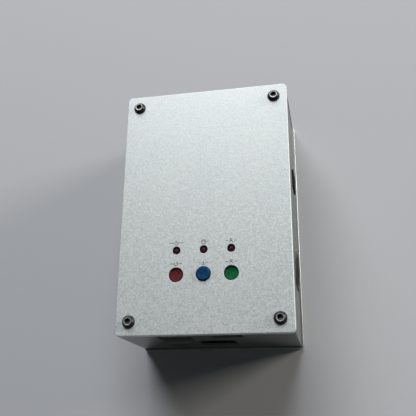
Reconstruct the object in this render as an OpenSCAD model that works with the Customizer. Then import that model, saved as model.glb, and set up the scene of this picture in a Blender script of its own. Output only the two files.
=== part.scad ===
// Control and data box of a lidar scanner.
// Origin: centre of the footprint on the table. +X right, +Y to the rear, +Z up. Millimetres.
// A lid and a base clamp four walls between them on four threaded corner posts.
// Three boards are stacked inside; the top one carries the indicators and the push buttons.

/* [Plates] */
// Width of the lid
lid_w = 76; // [70:0.5:90]
// Length of the lid
lid_l = 114; // [110:0.5:130]
// Thickness of the lid and of the base
plate_t = 3; // [2.5:0.5:5]
// Corner radius of the lid and of the base
corner_r = 2; // [1:0.5:4]
// How far the base stands out past the lid on each side
base_margin = 0.5; // [0.3:0.1:1]

/* [Walls] */
// Height of the walls between base and lid
body_h = 41; // [41:0.5:60]
// Thickness of the aluminium walls
wall_t = 2; // [1.5:0.1:2.2]
// Thickness of the rear panel
rear_t = 3; // [2:0.5:3]
// How far the walls stand in from the lid's edge
wall_inset = 0.4; // [0.2:0.1:0.8]

/* [Controls] */
// Spacing of the three columns of controls
control_pitch = 12; // [11:0.5:13]
// Distance of the indicator row from the lid's front edge
led_row = 36.25; // [35:0.25:38]
// Distance of the button row from the lid's front edge
button_row = 25.5; // [24:0.25:26]
// Diameter of the indicator holes
led_hole_d = 3.6; // [3.4:0.1:4]
// Diameter of the button holes
button_hole_d = 6.5; // [6.2:0.1:7]
// Diameter of the button caps
cap_d = 5.8; // [5:0.1:6]
// Height of the red cap's top over the lid's face
red_rise = -0.8; // [-1.2:0.1:1]
// Height of the blue cap's top over the lid's face
blue_rise = 0.9; // [-1.2:0.1:1.2]
// Height of the green cap's top over the lid's face
green_rise = -0.9; // [-1.2:0.1:1]

/* [Fasteners] */
// Distance of the corner screws from the lid's edges
screw_inset = 6; // [5.8:0.1:6.2]
// Spacing of the tapped mounting holes in the base, across
mount_x = 50; // [40:1:50]
// Spacing of the tapped mounting holes in the base, lengthwise
mount_y = 80; // [70:1:80]

/* [Hidden] */
$fn = 48;

// Heights of the levels, from the table up
base_z = 0;
wall_z = base_z + plate_t;
lid_z = wall_z + body_h;
top_z = lid_z + plate_t;

// Half sizes of the wall box, outside
wall_x = lid_w / 2 - wall_inset;
wall_y = lid_l / 2 - wall_inset;

// Corner screws and posts
post_x = lid_w / 2 - screw_inset;
post_y = lid_l / 2 - screw_inset;
post_af = 5;
screw_r = 1.45;
thread_r = 1.5;
clear_r = 1.6;
tap_r = 1.25;
head_r = 2.85;
head_h = 1.65;
land_r = 1.75;

// Circuit boards
board_t = 1.6;
main_z = wall_z + 8;
main_top = main_z + board_t;
proc_z = main_top + 13.9;
proc_top = proc_z + board_t;
ctl_z = proc_top + 4.5;
ctl_top = ctl_z + board_t;
board_x = 34.5;
board_front = -54.3;
board_rear = 47;
notch_x = 12;
notch_y = 8;
stand_x = 30;
stand_y = 42;

// Controls
led_y = led_row - lid_l / 2;
button_y = button_row - lid_l / 2;
columns = [-control_pitch, 0, control_pitch];

// Ports in the front wall: centre across, and shell size
twin_x = -14.25;
twin_w = 13.1;
twin_h = 15.6;
single_x = 8.2;
single_w = 13.1;
single_h = 7;
net_w = 16;
net_h = 13.5;
net_x = 1.7;
micro_x = -16.8;
micro_w = 7.6;
micro_h = 2.8;
card_x = -16.3;
card_w = 14;
card_h = 1.8;
card_y = wall_t - wall_y + 0.15;
front_recess = 0.5;
shell_t = 0.35;

// Ports in the right wall: centre lengthwise
side_net_y = -24.9;
jack_y = 19.4;
jack_w = 9;
jack_h = 11;
side_proud = 0.7;

// ---- Shared shapes ----

// A plate with round corners, centred, standing on z = 0
module rounded_plate(w, l, t, r) {
    linear_extrude(t) {
        square([w - 2 * r, l], center = true);
        square([w, l - 2 * r], center = true);
        for (x = [-1, 1], y = [-1, 1]) translate([x * (w / 2 - r), y * (l / 2 - r)]) circle(r);
    }
}

// Its children at the four corners of a rectangle of half sizes x and y
module at_corners(x, y) {
    for (sx = [-1, 1], sy = [-1, 1]) translate([sx * x, sy * y, 0]) children();
}

// A block given by its centre across, its front, its bottom and its size
module block(x, y, z, size) {
    translate([x - size[0] / 2, y, z]) cube(size);
}

// A hexagon prism by its size across flats, two flats facing front and rear
module hexagon(af, h) {
    cylinder(h = h, r = af / 2 / cos(30), $fn = 6);
}

// Alignment tabs along a wall's edge, and the pockets that take them
module tabs_along_x(y, z, grow = 0) {
    for (x = [-24, 24])
        translate([x - 6 - grow, y - 0.5 - grow, z - grow]) cube([12 + 2 * grow, 1 + 2 * grow, 1 + 2 * grow]);
}
module tabs_along_y(x, z, grow = 0) {
    for (y = [-36, 36])
        translate([x - 0.5 - grow, y - 6 - grow, z - grow]) cube([1 + 2 * grow, 12 + 2 * grow, 1 + 2 * grow]);
}
module wall_tabs(z, grow = 0) {
    tabs_along_x(-wall_y + wall_t / 2, z, grow);
    tabs_along_x(wall_y - rear_t / 2, z, grow);
    tabs_along_y(-wall_x + wall_t / 2, z, grow);
    tabs_along_y(wall_x - wall_t / 2, z, grow);
}

// ---- Enclosure ----

module top_plate() {
    color("gainsboro") difference() {
        translate([0, 0, lid_z]) rounded_plate(lid_w, lid_l, plate_t, corner_r);
        at_corners(post_x, post_y) translate([0, 0, lid_z - 1]) cylinder(h = plate_t + 2, r = clear_r);
        for (x = columns) {
            translate([x, led_y, lid_z - 1]) cylinder(h = plate_t + 2, d = led_hole_d);
            translate([x, button_y, lid_z - 1]) cylinder(h = plate_t + 2, d = button_hole_d);
        }
        wall_tabs(lid_z, 0.15);
    }
}

module base_plate() {
    color("gainsboro") difference() {
        translate([0, 0, base_z])
            rounded_plate(lid_w + 2 * base_margin, lid_l + 2 * base_margin, plate_t, corner_r);
        at_corners(post_x, post_y) translate([0, 0, base_z]) {
            translate([0, 0, -1]) cylinder(h = plate_t + 2, r = clear_r);
            translate([0, 0, -0.01]) cylinder(h = 1.55, r1 = 3.05, r2 = 1.5);
        }
        at_corners(mount_x / 2, mount_y / 2) translate([0, 0, base_z - 1]) cylinder(h = plate_t + 2, r = tap_r);
        at_corners(stand_x, stand_y) translate([0, 0, wall_z - 1.5]) cylinder(h = 2, r = 2.1);
        wall_tabs(wall_z - 1, 0.15);
    }
}

// A plain wall across the box: its outer face at side y (-1 front, 1 rear)
module cross_wall(side, t) {
    y0 = side < 0 ? -wall_y : wall_y - t;
    translate([-wall_x, y0, wall_z]) cube([2 * wall_x, t, body_h]);
    yc = y0 + t / 2;
    tabs_along_x(yc, wall_z - 1);
    tabs_along_x(yc, lid_z);
}

// A plain wall along the box, between the front wall and the rear panel
module long_wall(side) {
    x0 = side < 0 ? -wall_x : wall_x - wall_t;
    translate([x0, -wall_y + wall_t, wall_z]) cube([wall_t, 2 * wall_y - wall_t - rear_t, body_h]);
    xc = x0 + wall_t / 2;
    tabs_along_y(xc, wall_z - 1);
    tabs_along_y(xc, lid_z);
}

// A rectangular window through the front wall
module front_window(x, z, w, h) {
    translate([x - w / 2, -wall_y - 1, z]) cube([w, wall_t + 2, h]);
}

module front_wall() {
    color("silver") difference() {
        cross_wall(-1, wall_t);
        front_window(twin_x, proc_top - 0.2, twin_w + 1.2, twin_h + 0.8);
        front_window(single_x, ctl_top - 0.2, single_w + 0.8, single_h + 0.6);
        front_window(net_x, main_top - 0.2, net_w + 0.4, net_h + 0.4);
        front_window(micro_x, main_top - 0.2, micro_w + 1.2, micro_h + 0.8);
        front_window(card_x, proc_z - card_h - 0.1, 12.4, card_h);
    }
}

module rear_panel() {
    color("dimgray") cross_wall(1, rear_t);
}

module left_wall() {
    color("silver") long_wall(-1);
}

module right_wall() {
    color("silver") difference() {
        long_wall(1);
        translate([wall_x - wall_t - 1, side_net_y - net_w / 2 - 0.2, main_top - 0.2])
            cube([wall_t + 2, net_w + 0.4, net_h + 0.4]);
        translate([wall_x - wall_t - 1, jack_y - jack_w / 2 - 0.2, main_top - 0.2])
            cube([wall_t + 2, jack_w + 0.4, jack_h + 0.4]);
    }
}

module corner_posts() {
    color("lightgray") at_corners(post_x, post_y) difference() {
        translate([0, 0, wall_z]) hexagon(post_af, body_h);
        translate([0, 0, wall_z - 1]) cylinder(h = 10, r = thread_r);
        translate([0, 0, lid_z - 9]) cylinder(h = 10, r = thread_r);
    }
}

// A button-head screw with a hexagon socket: the head stands on z = 0
module button_screw(length) {
    cap_c = (land_r * land_r + head_h * head_h - head_r * head_r) / (2 * head_h);
    cap_r = sqrt(head_r * head_r + cap_c * cap_c);
    difference() {
        union() {
            intersection() {
                translate([0, 0, cap_c]) sphere(cap_r);
                cylinder(h = head_h, r = head_r + 1);
            }
            translate([0, 0, -length]) cylinder(h = length + 0.5, r = screw_r);
        }
        translate([0, 0, head_h - 1.05]) hexagon(2, 2);
    }
}

module lid_screws() {
    color([0.12, 0.12, 0.13]) at_corners(post_x, post_y) translate([0, 0, top_z]) button_screw(10);
}

// A countersunk screw driven from below: its face lies on z = 0
module sunk_screw(length) {
    difference() {
        union() {
            cylinder(h = 1.45, r1 = 2.8, r2 = screw_r);
            cylinder(h = length, r = screw_r);
        }
        translate([0, 0, -1]) hexagon(2, 2.1);
    }
}

module base_screws() {
    color([0.12, 0.12, 0.13]) at_corners(post_x, post_y) translate([0, 0, base_z + 0.1]) sunk_screw(10);
}

// ---- Circuit boards and what holds them ----

// Outline of the two full-size boards, with its front corners cut away round the posts
module full_board(z) {
    translate([0, 0, z]) difference() {
        translate([-board_x, board_front, 0]) cube([2 * board_x, board_rear - board_front, board_t]);
        for (s = [-1, 1]) translate([s * board_x - notch_x / 2, board_front - 1, -1])
            cube([notch_x, notch_y + 1, board_t + 2]);
        at_corners(stand_x, stand_y) translate([0, 0, -1]) cylinder(h = board_t + 2, r = clear_r);
    }
}

module main_board() {
    color("darkgreen") full_board(main_z);
}

module processor_board() {
    color("darkgreen") difference() {
        full_board(proc_z);
        for (p = spacer_points) translate([p[0], p[1], proc_z - 1]) cylinder(h = board_t + 2, r = clear_r);
    }
}

spacer_points = [for (x = [-26.5, 26.5], y = [-35, -17.5]) [x, y]];

module control_board() {
    color("darkgreen") translate([0, 0, ctl_z]) difference() {
        union() {
            translate([-30, -38.5, 0]) cube([60, 25, board_t]);
            translate([single_x - 8.5, board_front, 0]) cube([17, 16, board_t]);
        }
        for (p = spacer_points) translate([p[0], p[1], -1]) cylinder(h = board_t + 2, r = clear_r);
        for (x = columns, s = [-1, 1]) translate([x + s * 1.27, led_y, -1]) cylinder(h = board_t + 2, r = 0.45);
    }
}

module base_standoffs() {
    color("goldenrod") at_corners(stand_x, stand_y) difference() {
        union() {
            translate([0, 0, wall_z]) hexagon(post_af, main_z - wall_z);
            translate([0, 0, wall_z - 1.4]) cylinder(h = 2, r = 2.05);
        }
        translate([0, 0, main_z - 5]) cylinder(h = 6, r = thread_r);
    }
}

module board_standoffs() {
    color("goldenrod") at_corners(stand_x, stand_y) difference() {
        union() {
            translate([0, 0, main_top]) hexagon(post_af, proc_z - main_top);
            translate([0, 0, main_z - 4.5]) cylinder(h = board_t + 5, r = screw_r);
        }
        translate([0, 0, proc_z - 6]) cylinder(h = 7, r = thread_r);
    }
}

module control_spacers() {
    color("goldenrod") for (p = spacer_points) translate([p[0], p[1], 0]) difference() {
        union() {
            translate([0, 0, proc_top]) cylinder(h = ctl_z - proc_top, r = 2.7);
            translate([0, 0, proc_z + 0.2]) cylinder(h = board_t, r = 1.55);
        }
        translate([0, 0, ctl_z - 4.5]) cylinder(h = 5, r = thread_r);
    }
}

// A cheese-head screw with a cross slot: the head stands on z = 0
module board_screw(length) {
    difference() {
        union() {
            cylinder(h = 1.9, r = 2.6);
            translate([0, 0, -length]) cylinder(h = length + 0.5, r = screw_r);
        }
        for (a = [0, 90]) rotate(a) translate([-1.5, -0.3, 0.9]) cube([3, 0.6, 2]);
    }
}

module board_screws() {
    color("silver") at_corners(stand_x, stand_y) translate([0, 0, proc_top]) board_screw(6);
}

module control_screws() {
    color("silver") for (p = spacer_points) translate([p[0], p[1], ctl_top]) board_screw(5);
}

// ---- Ports ----

port_y = -wall_y + front_recess;

// A folded sheet shell, open to the front, with its outside front lower edge at x, y, z
module shell(x, y, z, w, h, depth) {
    difference() {
        block(x, y, z, [w, depth, h]);
        block(x, y - 1, z + shell_t, [w - 2 * shell_t, depth + 1 - shell_t, h - 2 * shell_t]);
    }
}

module twin_usb_shell() {
    color("silver") {
        shell(twin_x, port_y, proc_top, twin_w, twin_h, 17.5);
        difference() {
            block(twin_x, port_y, proc_top + 6.3, [twin_w - 0.5, 11, 3]);
            block(twin_x, port_y + 0.3, proc_top + 6.3 + 0.3, [twin_w - 2, 12, 2.4]);
        }
    }
}

// The insulator of one type A port: a back block that carries a tongue
module usb_insert(x, z, w, h, tongue_z, depth) {
    block(x, port_y + 11, z, [w, depth - 11, h]);
    block(x, port_y + 1, tongue_z, [11.1, 10.5, 1.8]);
}

module twin_usb_insert() {
    color([0.1, 0.1, 0.12]) {
        w = twin_w - 2 * shell_t - 0.1;
        usb_insert(twin_x, proc_top + 0.4, w, twin_h - 0.8, proc_top + 3.2, 17.1);
        usb_insert(twin_x, proc_top + 0.4, w, twin_h - 0.8, proc_top + 12.2, 17.1);
    }
}

module single_usb_shell() {
    color("silver") shell(single_x, port_y, ctl_top, single_w, single_h, 14);
}

module single_usb_insert() {
    color([0.1, 0.1, 0.12])
        usb_insert(single_x, ctl_top + 0.4, single_w - 2 * shell_t - 0.1, single_h - 0.8, ctl_top + 4, 13.6);
}

// A modular socket facing -Y with its front lower edge at the origin: shell, insert and contacts
module ethernet_shell() {
    shell(0, 0, 0, net_w, net_h, 21);
}
module ethernet_insert() {
    difference() {
        block(0, 0.3, 0.4, [net_w - 0.8, 20.2, net_h - 0.8]);
        block(0, -1, 4, [11.8, 14, 7]);
        block(0, -1, 2.4, [6.2, 14, 2]);
        block(0, -1, 1.2, [3.2, 14, 1.5]);
        for (i = [-3.5:3.5]) block(i * 1.02, 1, 10.9, [0.5, 12.1, 1.2]);
    }
}
module ethernet_pins() {
    for (i = [-3.5:3.5]) {
        block(i * 1.02, 1.5, 11.3, [0.35, 11.2, 0.35]);
        translate([i * 1.02 - 0.175, 2, 11.3]) rotate([-18, 0, 0]) cube([0.35, 8, 0.3]);
    }
}

// Places a front-facing socket in the front wall or, turned a quarter, in the right wall
module at_front_net() {
    translate([net_x, port_y, main_top]) children();
}
module at_side_net() {
    translate([wall_x + side_proud, side_net_y, main_top]) rotate(90) children();
}

module front_ethernet_shell() { color("silver") at_front_net() ethernet_shell(); }
module front_ethernet_insert() { color([0.1, 0.1, 0.12]) at_front_net() ethernet_insert(); }
module side_ethernet_shell() { color("silver") at_side_net() ethernet_shell(); }
module side_ethernet_insert() { color([0.1, 0.1, 0.12]) at_side_net() ethernet_insert(); }
module ethernet_contacts() {
    color("gold") {
        at_front_net() ethernet_pins();
        at_side_net() ethernet_pins();
    }
}

// Section of a micro B shell: the lower corners are cut off
module micro_section(w, h, cut) {
    polygon([
        [-w / 2 + cut, 0], [w / 2 - cut, 0], [w / 2, cut], [w / 2, h], [-w / 2, h], [-w / 2, cut]
    ]);
}

module micro_usb_shell() {
    color("silver") translate([micro_x, port_y + 5.6, main_top]) rotate([90, 0, 0]) difference() {
        linear_extrude(5.6) micro_section(micro_w, micro_h, 0.8);
        translate([0, 0.3, 0.4]) linear_extrude(6) micro_section(micro_w - 0.6, micro_h - 0.6, 0.6);
    }
}

module micro_usb_insert() {
    color([0.1, 0.1, 0.12]) {
        block(micro_x, port_y + 4.2, main_top + 1, [micro_w - 0.8, 0.9, 1.3]);
        block(micro_x, port_y + 0.7, main_top + 1.5, [3.7, 3.6, 0.6]);
    }
}

module power_jack_body() {
    color([0.1, 0.1, 0.12]) translate([wall_x + side_proud, jack_y, main_top]) rotate(90) difference() {
        block(0, 0, 0, [jack_w, 14, jack_h]);
        translate([0, -1, 6.3]) rotate([-90, 0, 0]) cylinder(h = 10.5, r = 3.15);
        translate([0, 0, 6.3]) rotate([-90, 0, 0]) cylinder(h = 13, r = 1.05);
    }
}

module power_jack_pin() {
    color("silver") translate([wall_x + side_proud, jack_y, main_top + 6.3]) rotate(90) rotate([-90, 0, 0]) {
        translate([0, 0, 1.5]) cylinder(h = 11.4, r = 1);
        translate([0, 0, 1]) cylinder(h = 0.5, r1 = 0.6, r2 = 1);
    }
}

module card_socket() {
    color("silver") difference() {
        block(card_x, card_y, proc_z - card_h, [card_w, 14.6, card_h]);
        block(card_x, card_y - 1, proc_z - card_h + 0.35, [11.4, 15, 1.1]);
    }
}

// ---- Push buttons ----

cap_h = 6.5;
post_top = lid_z - 0.4;
housing_h = 3.5;
cover_t = 0.3;
flange_top = ctl_top + housing_h - 0.02;

// A round cap with a square socket underneath for the plunger's post
module cap(x, rise, tint) {
    color(tint) translate([x, button_y, top_z + rise - cap_h]) difference() {
        union() {
            cylinder(h = cap_h - 0.4, d = cap_d);
            translate([0, 0, cap_h - 0.4]) cylinder(h = 0.4, d1 = cap_d, d2 = cap_d - 0.8);
        }
        translate([-1.25, -1.25, -1]) cube([2.5, 2.5, post_top - (top_z + rise - cap_h) + 1.05]);
    }
}

module red_cap() { cap(columns[0], red_rise, [0.42, 0.16, 0.17]); }
module blue_cap() { cap(columns[1], blue_rise, [0.1, 0.29, 0.52]); }
module green_cap() { cap(columns[2], green_rise, [0.05, 0.42, 0.22]); }

// The moving stem of a switch: nub on the dome, flange under the cover, round stem, square post
module plunger(x) {
    color([0.15, 0.15, 0.15]) translate([x, button_y, 0]) {
        translate([0, 0, flange_top - 1.84]) cylinder(h = 0.74, r = 0.7);
        translate([0, 0, flange_top - 1.2]) cylinder(h = 1.2, r = 2.3);
        translate([0, 0, flange_top - 0.2]) cylinder(h = 1.9, r = 1.75);
        translate([-1.2, -1.2, flange_top]) cube([2.4, 2.4, post_top - flange_top]);
    }
}

module red_plunger() { plunger(columns[0]); }
module blue_plunger() { plunger(columns[1]); }
module green_plunger() { plunger(columns[2]); }

// The snap dome that the plunger presses: a thin slice of a hollow sphere, its rim on the housing's floor
module dome(x) {
    dome_r = 4.5;
    rim_r = 2.4;
    rim_z = sqrt(dome_r * dome_r - rim_r * rim_r);
    color("lightgray") translate([x, button_y, ctl_top + 0.6 - rim_z]) intersection() {
        difference() {
            sphere(dome_r);
            sphere(dome_r - 0.12);
        }
        translate([0, 0, rim_z]) cylinder(h = 2, r = rim_r);
    }
}

module red_dome() { dome(columns[0]); }
module blue_dome() { dome(columns[1]); }
module green_dome() { dome(columns[2]); }

module switch_housings() {
    color([0.12, 0.12, 0.12]) for (x = columns) difference() {
        block(x, button_y - 3, ctl_top, [6, 6, housing_h]);
        translate([x, button_y, ctl_top + 0.6]) cylinder(h = housing_h, r = 2.55);
    }
}

module switch_covers() {
    color("silver") for (x = columns) difference() {
        block(x, button_y - 3, ctl_top + housing_h, [6, 6, cover_t]);
        translate([x, button_y, ctl_top + housing_h - 1]) cylinder(h = 2, r = 1.9);
    }
}

// ---- Indicators ----

led_top = top_z - 0.2;
led_h = 5.3;

// A 3 mm lamp: domed lens on a flange, with two leads down through the board
module lamp(x) {
    color([0.35, 0.08, 0.1]) translate([x, led_y, led_top - led_h]) {
        cylinder(h = led_h - 1.5, r = 1.5);
        translate([0, 0, led_h - 1.5]) sphere(1.5);
        cylinder(h = 1, r = 1.9);
        for (s = [-1, 1]) translate([s * 1.27, 0, ctl_z - 0.4 - (led_top - led_h)])
            cylinder(h = led_top - led_h - ctl_z + 0.9, r = 0.25);
    }
}

module power_led() { lamp(columns[0]); }
module disk_led() { lamp(columns[1]); }
module user_led() { lamp(columns[2]); }

module led_spacers() {
    color("ivory") for (x = columns) translate([x, led_y, ctl_top]) difference() {
        cylinder(h = led_top - led_h - ctl_top, r = 2.3);
        for (s = [-1, 1]) translate([s * 1.27, 0, -1]) cylinder(h = 20, r = 0.4);
    }
}

// ---- Links between the boards ----

ribbon_x = -12;
ribbon_y = -14.5;
ribbon_w = 12;
ribbon_t = 0.3;
ribbon_low = proc_top + 1;
ribbon_high = ctl_z - 1;
ribbon_r = (ribbon_high - ribbon_low) / 2;

// The flat cable leaves both sockets to the rear and turns back on itself in one half circle
module ribbon_cable() {
    color("white") translate([ribbon_x + ribbon_w / 2, 0, 0]) rotate([0, -90, 0]) linear_extrude(ribbon_w) {
        translate([(ribbon_low + ribbon_high) / 2, ribbon_y + 3]) difference() {
            circle(ribbon_r + ribbon_t / 2);
            circle(ribbon_r - ribbon_t / 2);
            translate([-10, -20]) square([20, 20]);
        }
        for (z = [ribbon_low, ribbon_high])
            translate([z - ribbon_t / 2, ribbon_y - 1.5]) square([ribbon_t, 4.52]);
    }
}

module ribbon_sockets() {
    color("ivory") difference() {
        union() {
            block(ribbon_x, ribbon_y - 3, proc_top, [ribbon_w + 4, 4, 2]);
            block(ribbon_x, ribbon_y - 3, ctl_z - 2, [ribbon_w + 4, 4, 2]);
        }
        for (z = [ribbon_low, ribbon_high])
            block(ribbon_x, ribbon_y - 1.6, z - 0.2, [ribbon_w + 0.4, 5, 0.4]);
    }
}

header_y = 5;
header_x = -31.3;
header_rows = 10;
header_pitch = 2.54;

// Its children at each of the header's pins
module at_pins() {
    for (i = [0:header_rows - 1], s = [-0.5, 0.5])
        translate([header_x + s * header_pitch, header_y + (i - (header_rows - 1) / 2) * header_pitch, 0])
            children();
}

module header_socket() {
    color([0.1, 0.1, 0.1]) difference() {
        block(header_x, header_y - header_rows * header_pitch / 2, main_top,
            [5, header_rows * header_pitch, 11.2]);
        at_pins() translate([-0.45, -0.45, main_top + 1]) cube([0.9, 0.9, 12]);
    }
}

module header_pins() {
    color("gold") at_pins() translate([-0.32, -0.32, main_top + 2]) cube([0.64, 0.64, proc_z - main_top - 2]);
    color([0.1, 0.1, 0.1]) block(header_x, header_y - header_rows * header_pitch / 2, proc_z - 2.5,
        [5, header_rows * header_pitch, 2.5]);
}

// ---- Components ----

chip_x = 2;
chip_y = 14;
pad_t = 0.5;
chip_t = 1.4;

module processor_chip() {
    color([0.15, 0.15, 0.16]) block(chip_x, chip_y - 8, proc_top, [16, 16, chip_t]);
}

module thermal_pad() {
    color("lightblue") block(chip_x, chip_y - 7.5, proc_top + chip_t, [15, 15, pad_t]);
}

module heat_sink() {
    fin_count = 9;
    sink = 32;
    fin_t = 1.2;
    z0 = proc_top + chip_t + pad_t;
    color([0.2, 0.2, 0.21]) {
        block(chip_x, chip_y - sink / 2, z0, [sink, sink, 2.5]);
        for (i = [0:fin_count - 1]) {
            x = chip_x - sink / 2 + fin_t / 2 + i * (sink - fin_t) / (fin_count - 1);
            block(x, chip_y - sink / 2, z0 + 2, [fin_t, sink, 9]);
        }
    }
}

module memory_chips() {
    color([0.12, 0.12, 0.13]) for (x = [-21.5, 25.5], y = [4, 18])
        block(x, y, proc_top, [9, 11, 1.1]);
}

store_x = 5;
store_y = 3;

module storage_socket() {
    color([0.12, 0.12, 0.12]) difference() {
        block(store_x, store_y, main_top, [22, 6, 3.4]);
        block(store_x, store_y + 2.9, main_top + 2.1, [22.4, 5, 1]);
    }
}

module storage_card() {
    color("darkgreen") difference() {
        union() {
            block(store_x, store_y + 3, main_top + 2.2, [21.9, 41, 0.8]);
            for (y = [9, 24]) block(store_x, store_y + 3 + y, main_top + 2.9, [12, 13, 1.2]);
        }
        translate([store_x, store_y + 43.5, main_top]) cylinder(h = 5, r = 1.6);
    }
}

module storage_screw() {
    color("goldenrod") translate([store_x, store_y + 43.2, main_top]) {
        cylinder(h = 2.2, r = 2.4);
        cylinder(h = 3.2, r = 1.2);
        translate([0, 0, 3]) cylinder(h = 1, r = 2.3);
    }
}

module power_parts() {
    color([0.3, 0.3, 0.32]) {
        for (y = [31, 39]) translate([21.5, y, main_top]) cylinder(h = 7.5, r = 3.15);
        block(21.5, 5, main_top, [7, 7, 4]);
    }
}

top_plate();
front_wall();
rear_panel();
left_wall();
right_wall();
base_plate();
corner_posts();
lid_screws();
base_screws();
main_board();
processor_board();
control_board();
base_standoffs();
board_standoffs();
control_spacers();
board_screws();
control_screws();
twin_usb_shell();
twin_usb_insert();
single_usb_shell();
single_usb_insert();
front_ethernet_shell();
front_ethernet_insert();
side_ethernet_shell();
side_ethernet_insert();
ethernet_contacts();
micro_usb_shell();
micro_usb_insert();
power_jack_body();
power_jack_pin();
card_socket();
red_cap();
blue_cap();
green_cap();
red_plunger();
blue_plunger();
green_plunger();
red_dome();
blue_dome();
green_dome();
switch_housings();
switch_covers();
power_led();
disk_led();
user_led();
led_spacers();
ribbon_cable();
ribbon_sockets();
header_socket();
header_pins();
processor_chip();
thermal_pad();
heat_sink();
memory_chips();
storage_card();
storage_socket();
storage_screw();
power_parts();
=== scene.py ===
"""Looks of the control box of a lidar scanner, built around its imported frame.

Every length in this file is in millimetres, in the frame's own axes: +X right, +Y to the rear, +Z up.
build() turns them to metres. Places come from the frame's boxes, sizes from the dataclass fields.
"""

import logging
import math
from dataclasses import dataclass, field
from enum import Enum
from typing import ClassVar, Iterable, Sequence

import bmesh
import bpy
import numpy as np
from mathutils import Matrix, Vector
from mathutils.geometry import delaunay_2d_cdt


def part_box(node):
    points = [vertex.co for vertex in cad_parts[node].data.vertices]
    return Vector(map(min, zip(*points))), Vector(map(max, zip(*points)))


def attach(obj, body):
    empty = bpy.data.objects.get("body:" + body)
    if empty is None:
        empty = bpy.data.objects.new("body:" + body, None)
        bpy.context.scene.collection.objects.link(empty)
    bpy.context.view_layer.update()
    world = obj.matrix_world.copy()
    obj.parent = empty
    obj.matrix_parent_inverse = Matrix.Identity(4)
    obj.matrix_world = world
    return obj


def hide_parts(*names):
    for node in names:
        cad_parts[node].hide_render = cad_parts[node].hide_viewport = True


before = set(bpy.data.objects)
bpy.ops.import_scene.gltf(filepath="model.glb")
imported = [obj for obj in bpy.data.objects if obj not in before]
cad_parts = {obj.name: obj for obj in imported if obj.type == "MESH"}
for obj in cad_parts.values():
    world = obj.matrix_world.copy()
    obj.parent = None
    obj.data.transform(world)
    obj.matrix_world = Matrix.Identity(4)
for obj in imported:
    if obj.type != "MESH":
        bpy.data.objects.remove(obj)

LOG = logging.getLogger("control_box")
MM = 0.001
BOX = "box"
COLUMNS = ("red", "blue", "green")
LAMPS = ("power", "disk", "user")
TURN_STEPS = 48
# Points closer than this are made one.
MERGE = 0.0002
# Widest flat rim beside a rounded edge.
RIM = 0.12
# Nearly all values of a noise lie between these two.
NOISE_LOW, NOISE_HIGH = 0.3, 0.7
# Inputs that share a name with another one, by number: those of a blend of colours, of numbers, and of sums.
MIXED_BY, COLOUR_A, COLOUR_B = 0, 6, 7
NUMBER_A, NUMBER_B = 2, 3
FIRST, SECOND = 0, 1

# Growth of an outline, height, and a mark for wear and painted highlight.
Station = tuple[float, float, float]
# Radius, height, share of a hexagon, and a mark for wear and painted highlight.
Ring = tuple[float, float, float, float]


# ---------------------------------------------------------------- finishes


def linear(code: str) -> tuple[float, float, float, float]:
    """Turns an sRGB hex colour to linear light.

    Args:
        code: six hex digits, with or without a leading #.

    Returns:
        Red, green, blue and an alpha of 1.
    """
    digits = code.lstrip("#")
    parts = np.array([int(digits[i : i + 2], 16) for i in (0, 2, 4)]) / 255.0
    light = np.where(parts <= 0.04045, parts / 12.92, ((parts + 0.055) / 1.055) ** 2.4)
    return (*light.tolist(), 1.0)


class Kind(Enum):
    """The kinds of node in use, each with the output that is read from it."""

    PLACE = ("ShaderNodeTexCoord", "Object")
    MARK = ("ShaderNodeAttribute", "Fac")
    STRETCH = ("ShaderNodeMapping", "Vector")
    NOISE = ("ShaderNodeTexNoise", "Fac")
    CELL_COLOUR = ("ShaderNodeTexVoronoi", "Color")
    CELL_REACH = ("ShaderNodeTexVoronoi", "Distance")
    CHANNEL = ("ShaderNodeSeparateColor", "Red")
    SUM = ("ShaderNodeMath", "Value")
    RANGE = ("ShaderNodeMapRange", "Result")
    SHARE = ("ShaderNodeMix", 0)
    BLEND = ("ShaderNodeMix", 2)
    RELIEF = ("ShaderNodeBump", "Normal")


def pattern(place: bpy.types.NodeSocket, size: float) -> dict:
    """What a pattern reads that has one feature in that many millimetres."""
    return {"Vector": place, "Scale": 1.0 / (size * MM)}


def connect(tree: bpy.types.NodeTree, node: bpy.types.Node, feeds: dict) -> None:
    """Gives a node's inputs their values and links.

    Args:
        tree: the material's node tree.
        node: the node that takes them.
        feeds: for each input, by name or number, a value or the socket that feeds it.
    """
    for key, value in feeds.items():
        if isinstance(value, bpy.types.NodeSocket):
            tree.links.new(value, node.inputs[key])
        else:
            node.inputs[key].default_value = value


def add(
    tree: bpy.types.NodeTree, kind: Kind, feeds: dict | None = None, **settings: object
) -> bpy.types.NodeSocket:
    """Adds one node with its settings, values and links.

    Args:
        tree: the material's node tree.
        kind: the kind of node.
        feeds: for each input, by name or number, a value or the socket that feeds it.
        settings: the node's own properties.

    Returns:
        The output that this kind of node is read from.
    """
    title, output = kind.value
    made = tree.nodes.new(title)
    for key, value in settings.items():
        setattr(made, key, value)
    connect(tree, made, feeds or {})
    return made.outputs[output]


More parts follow.
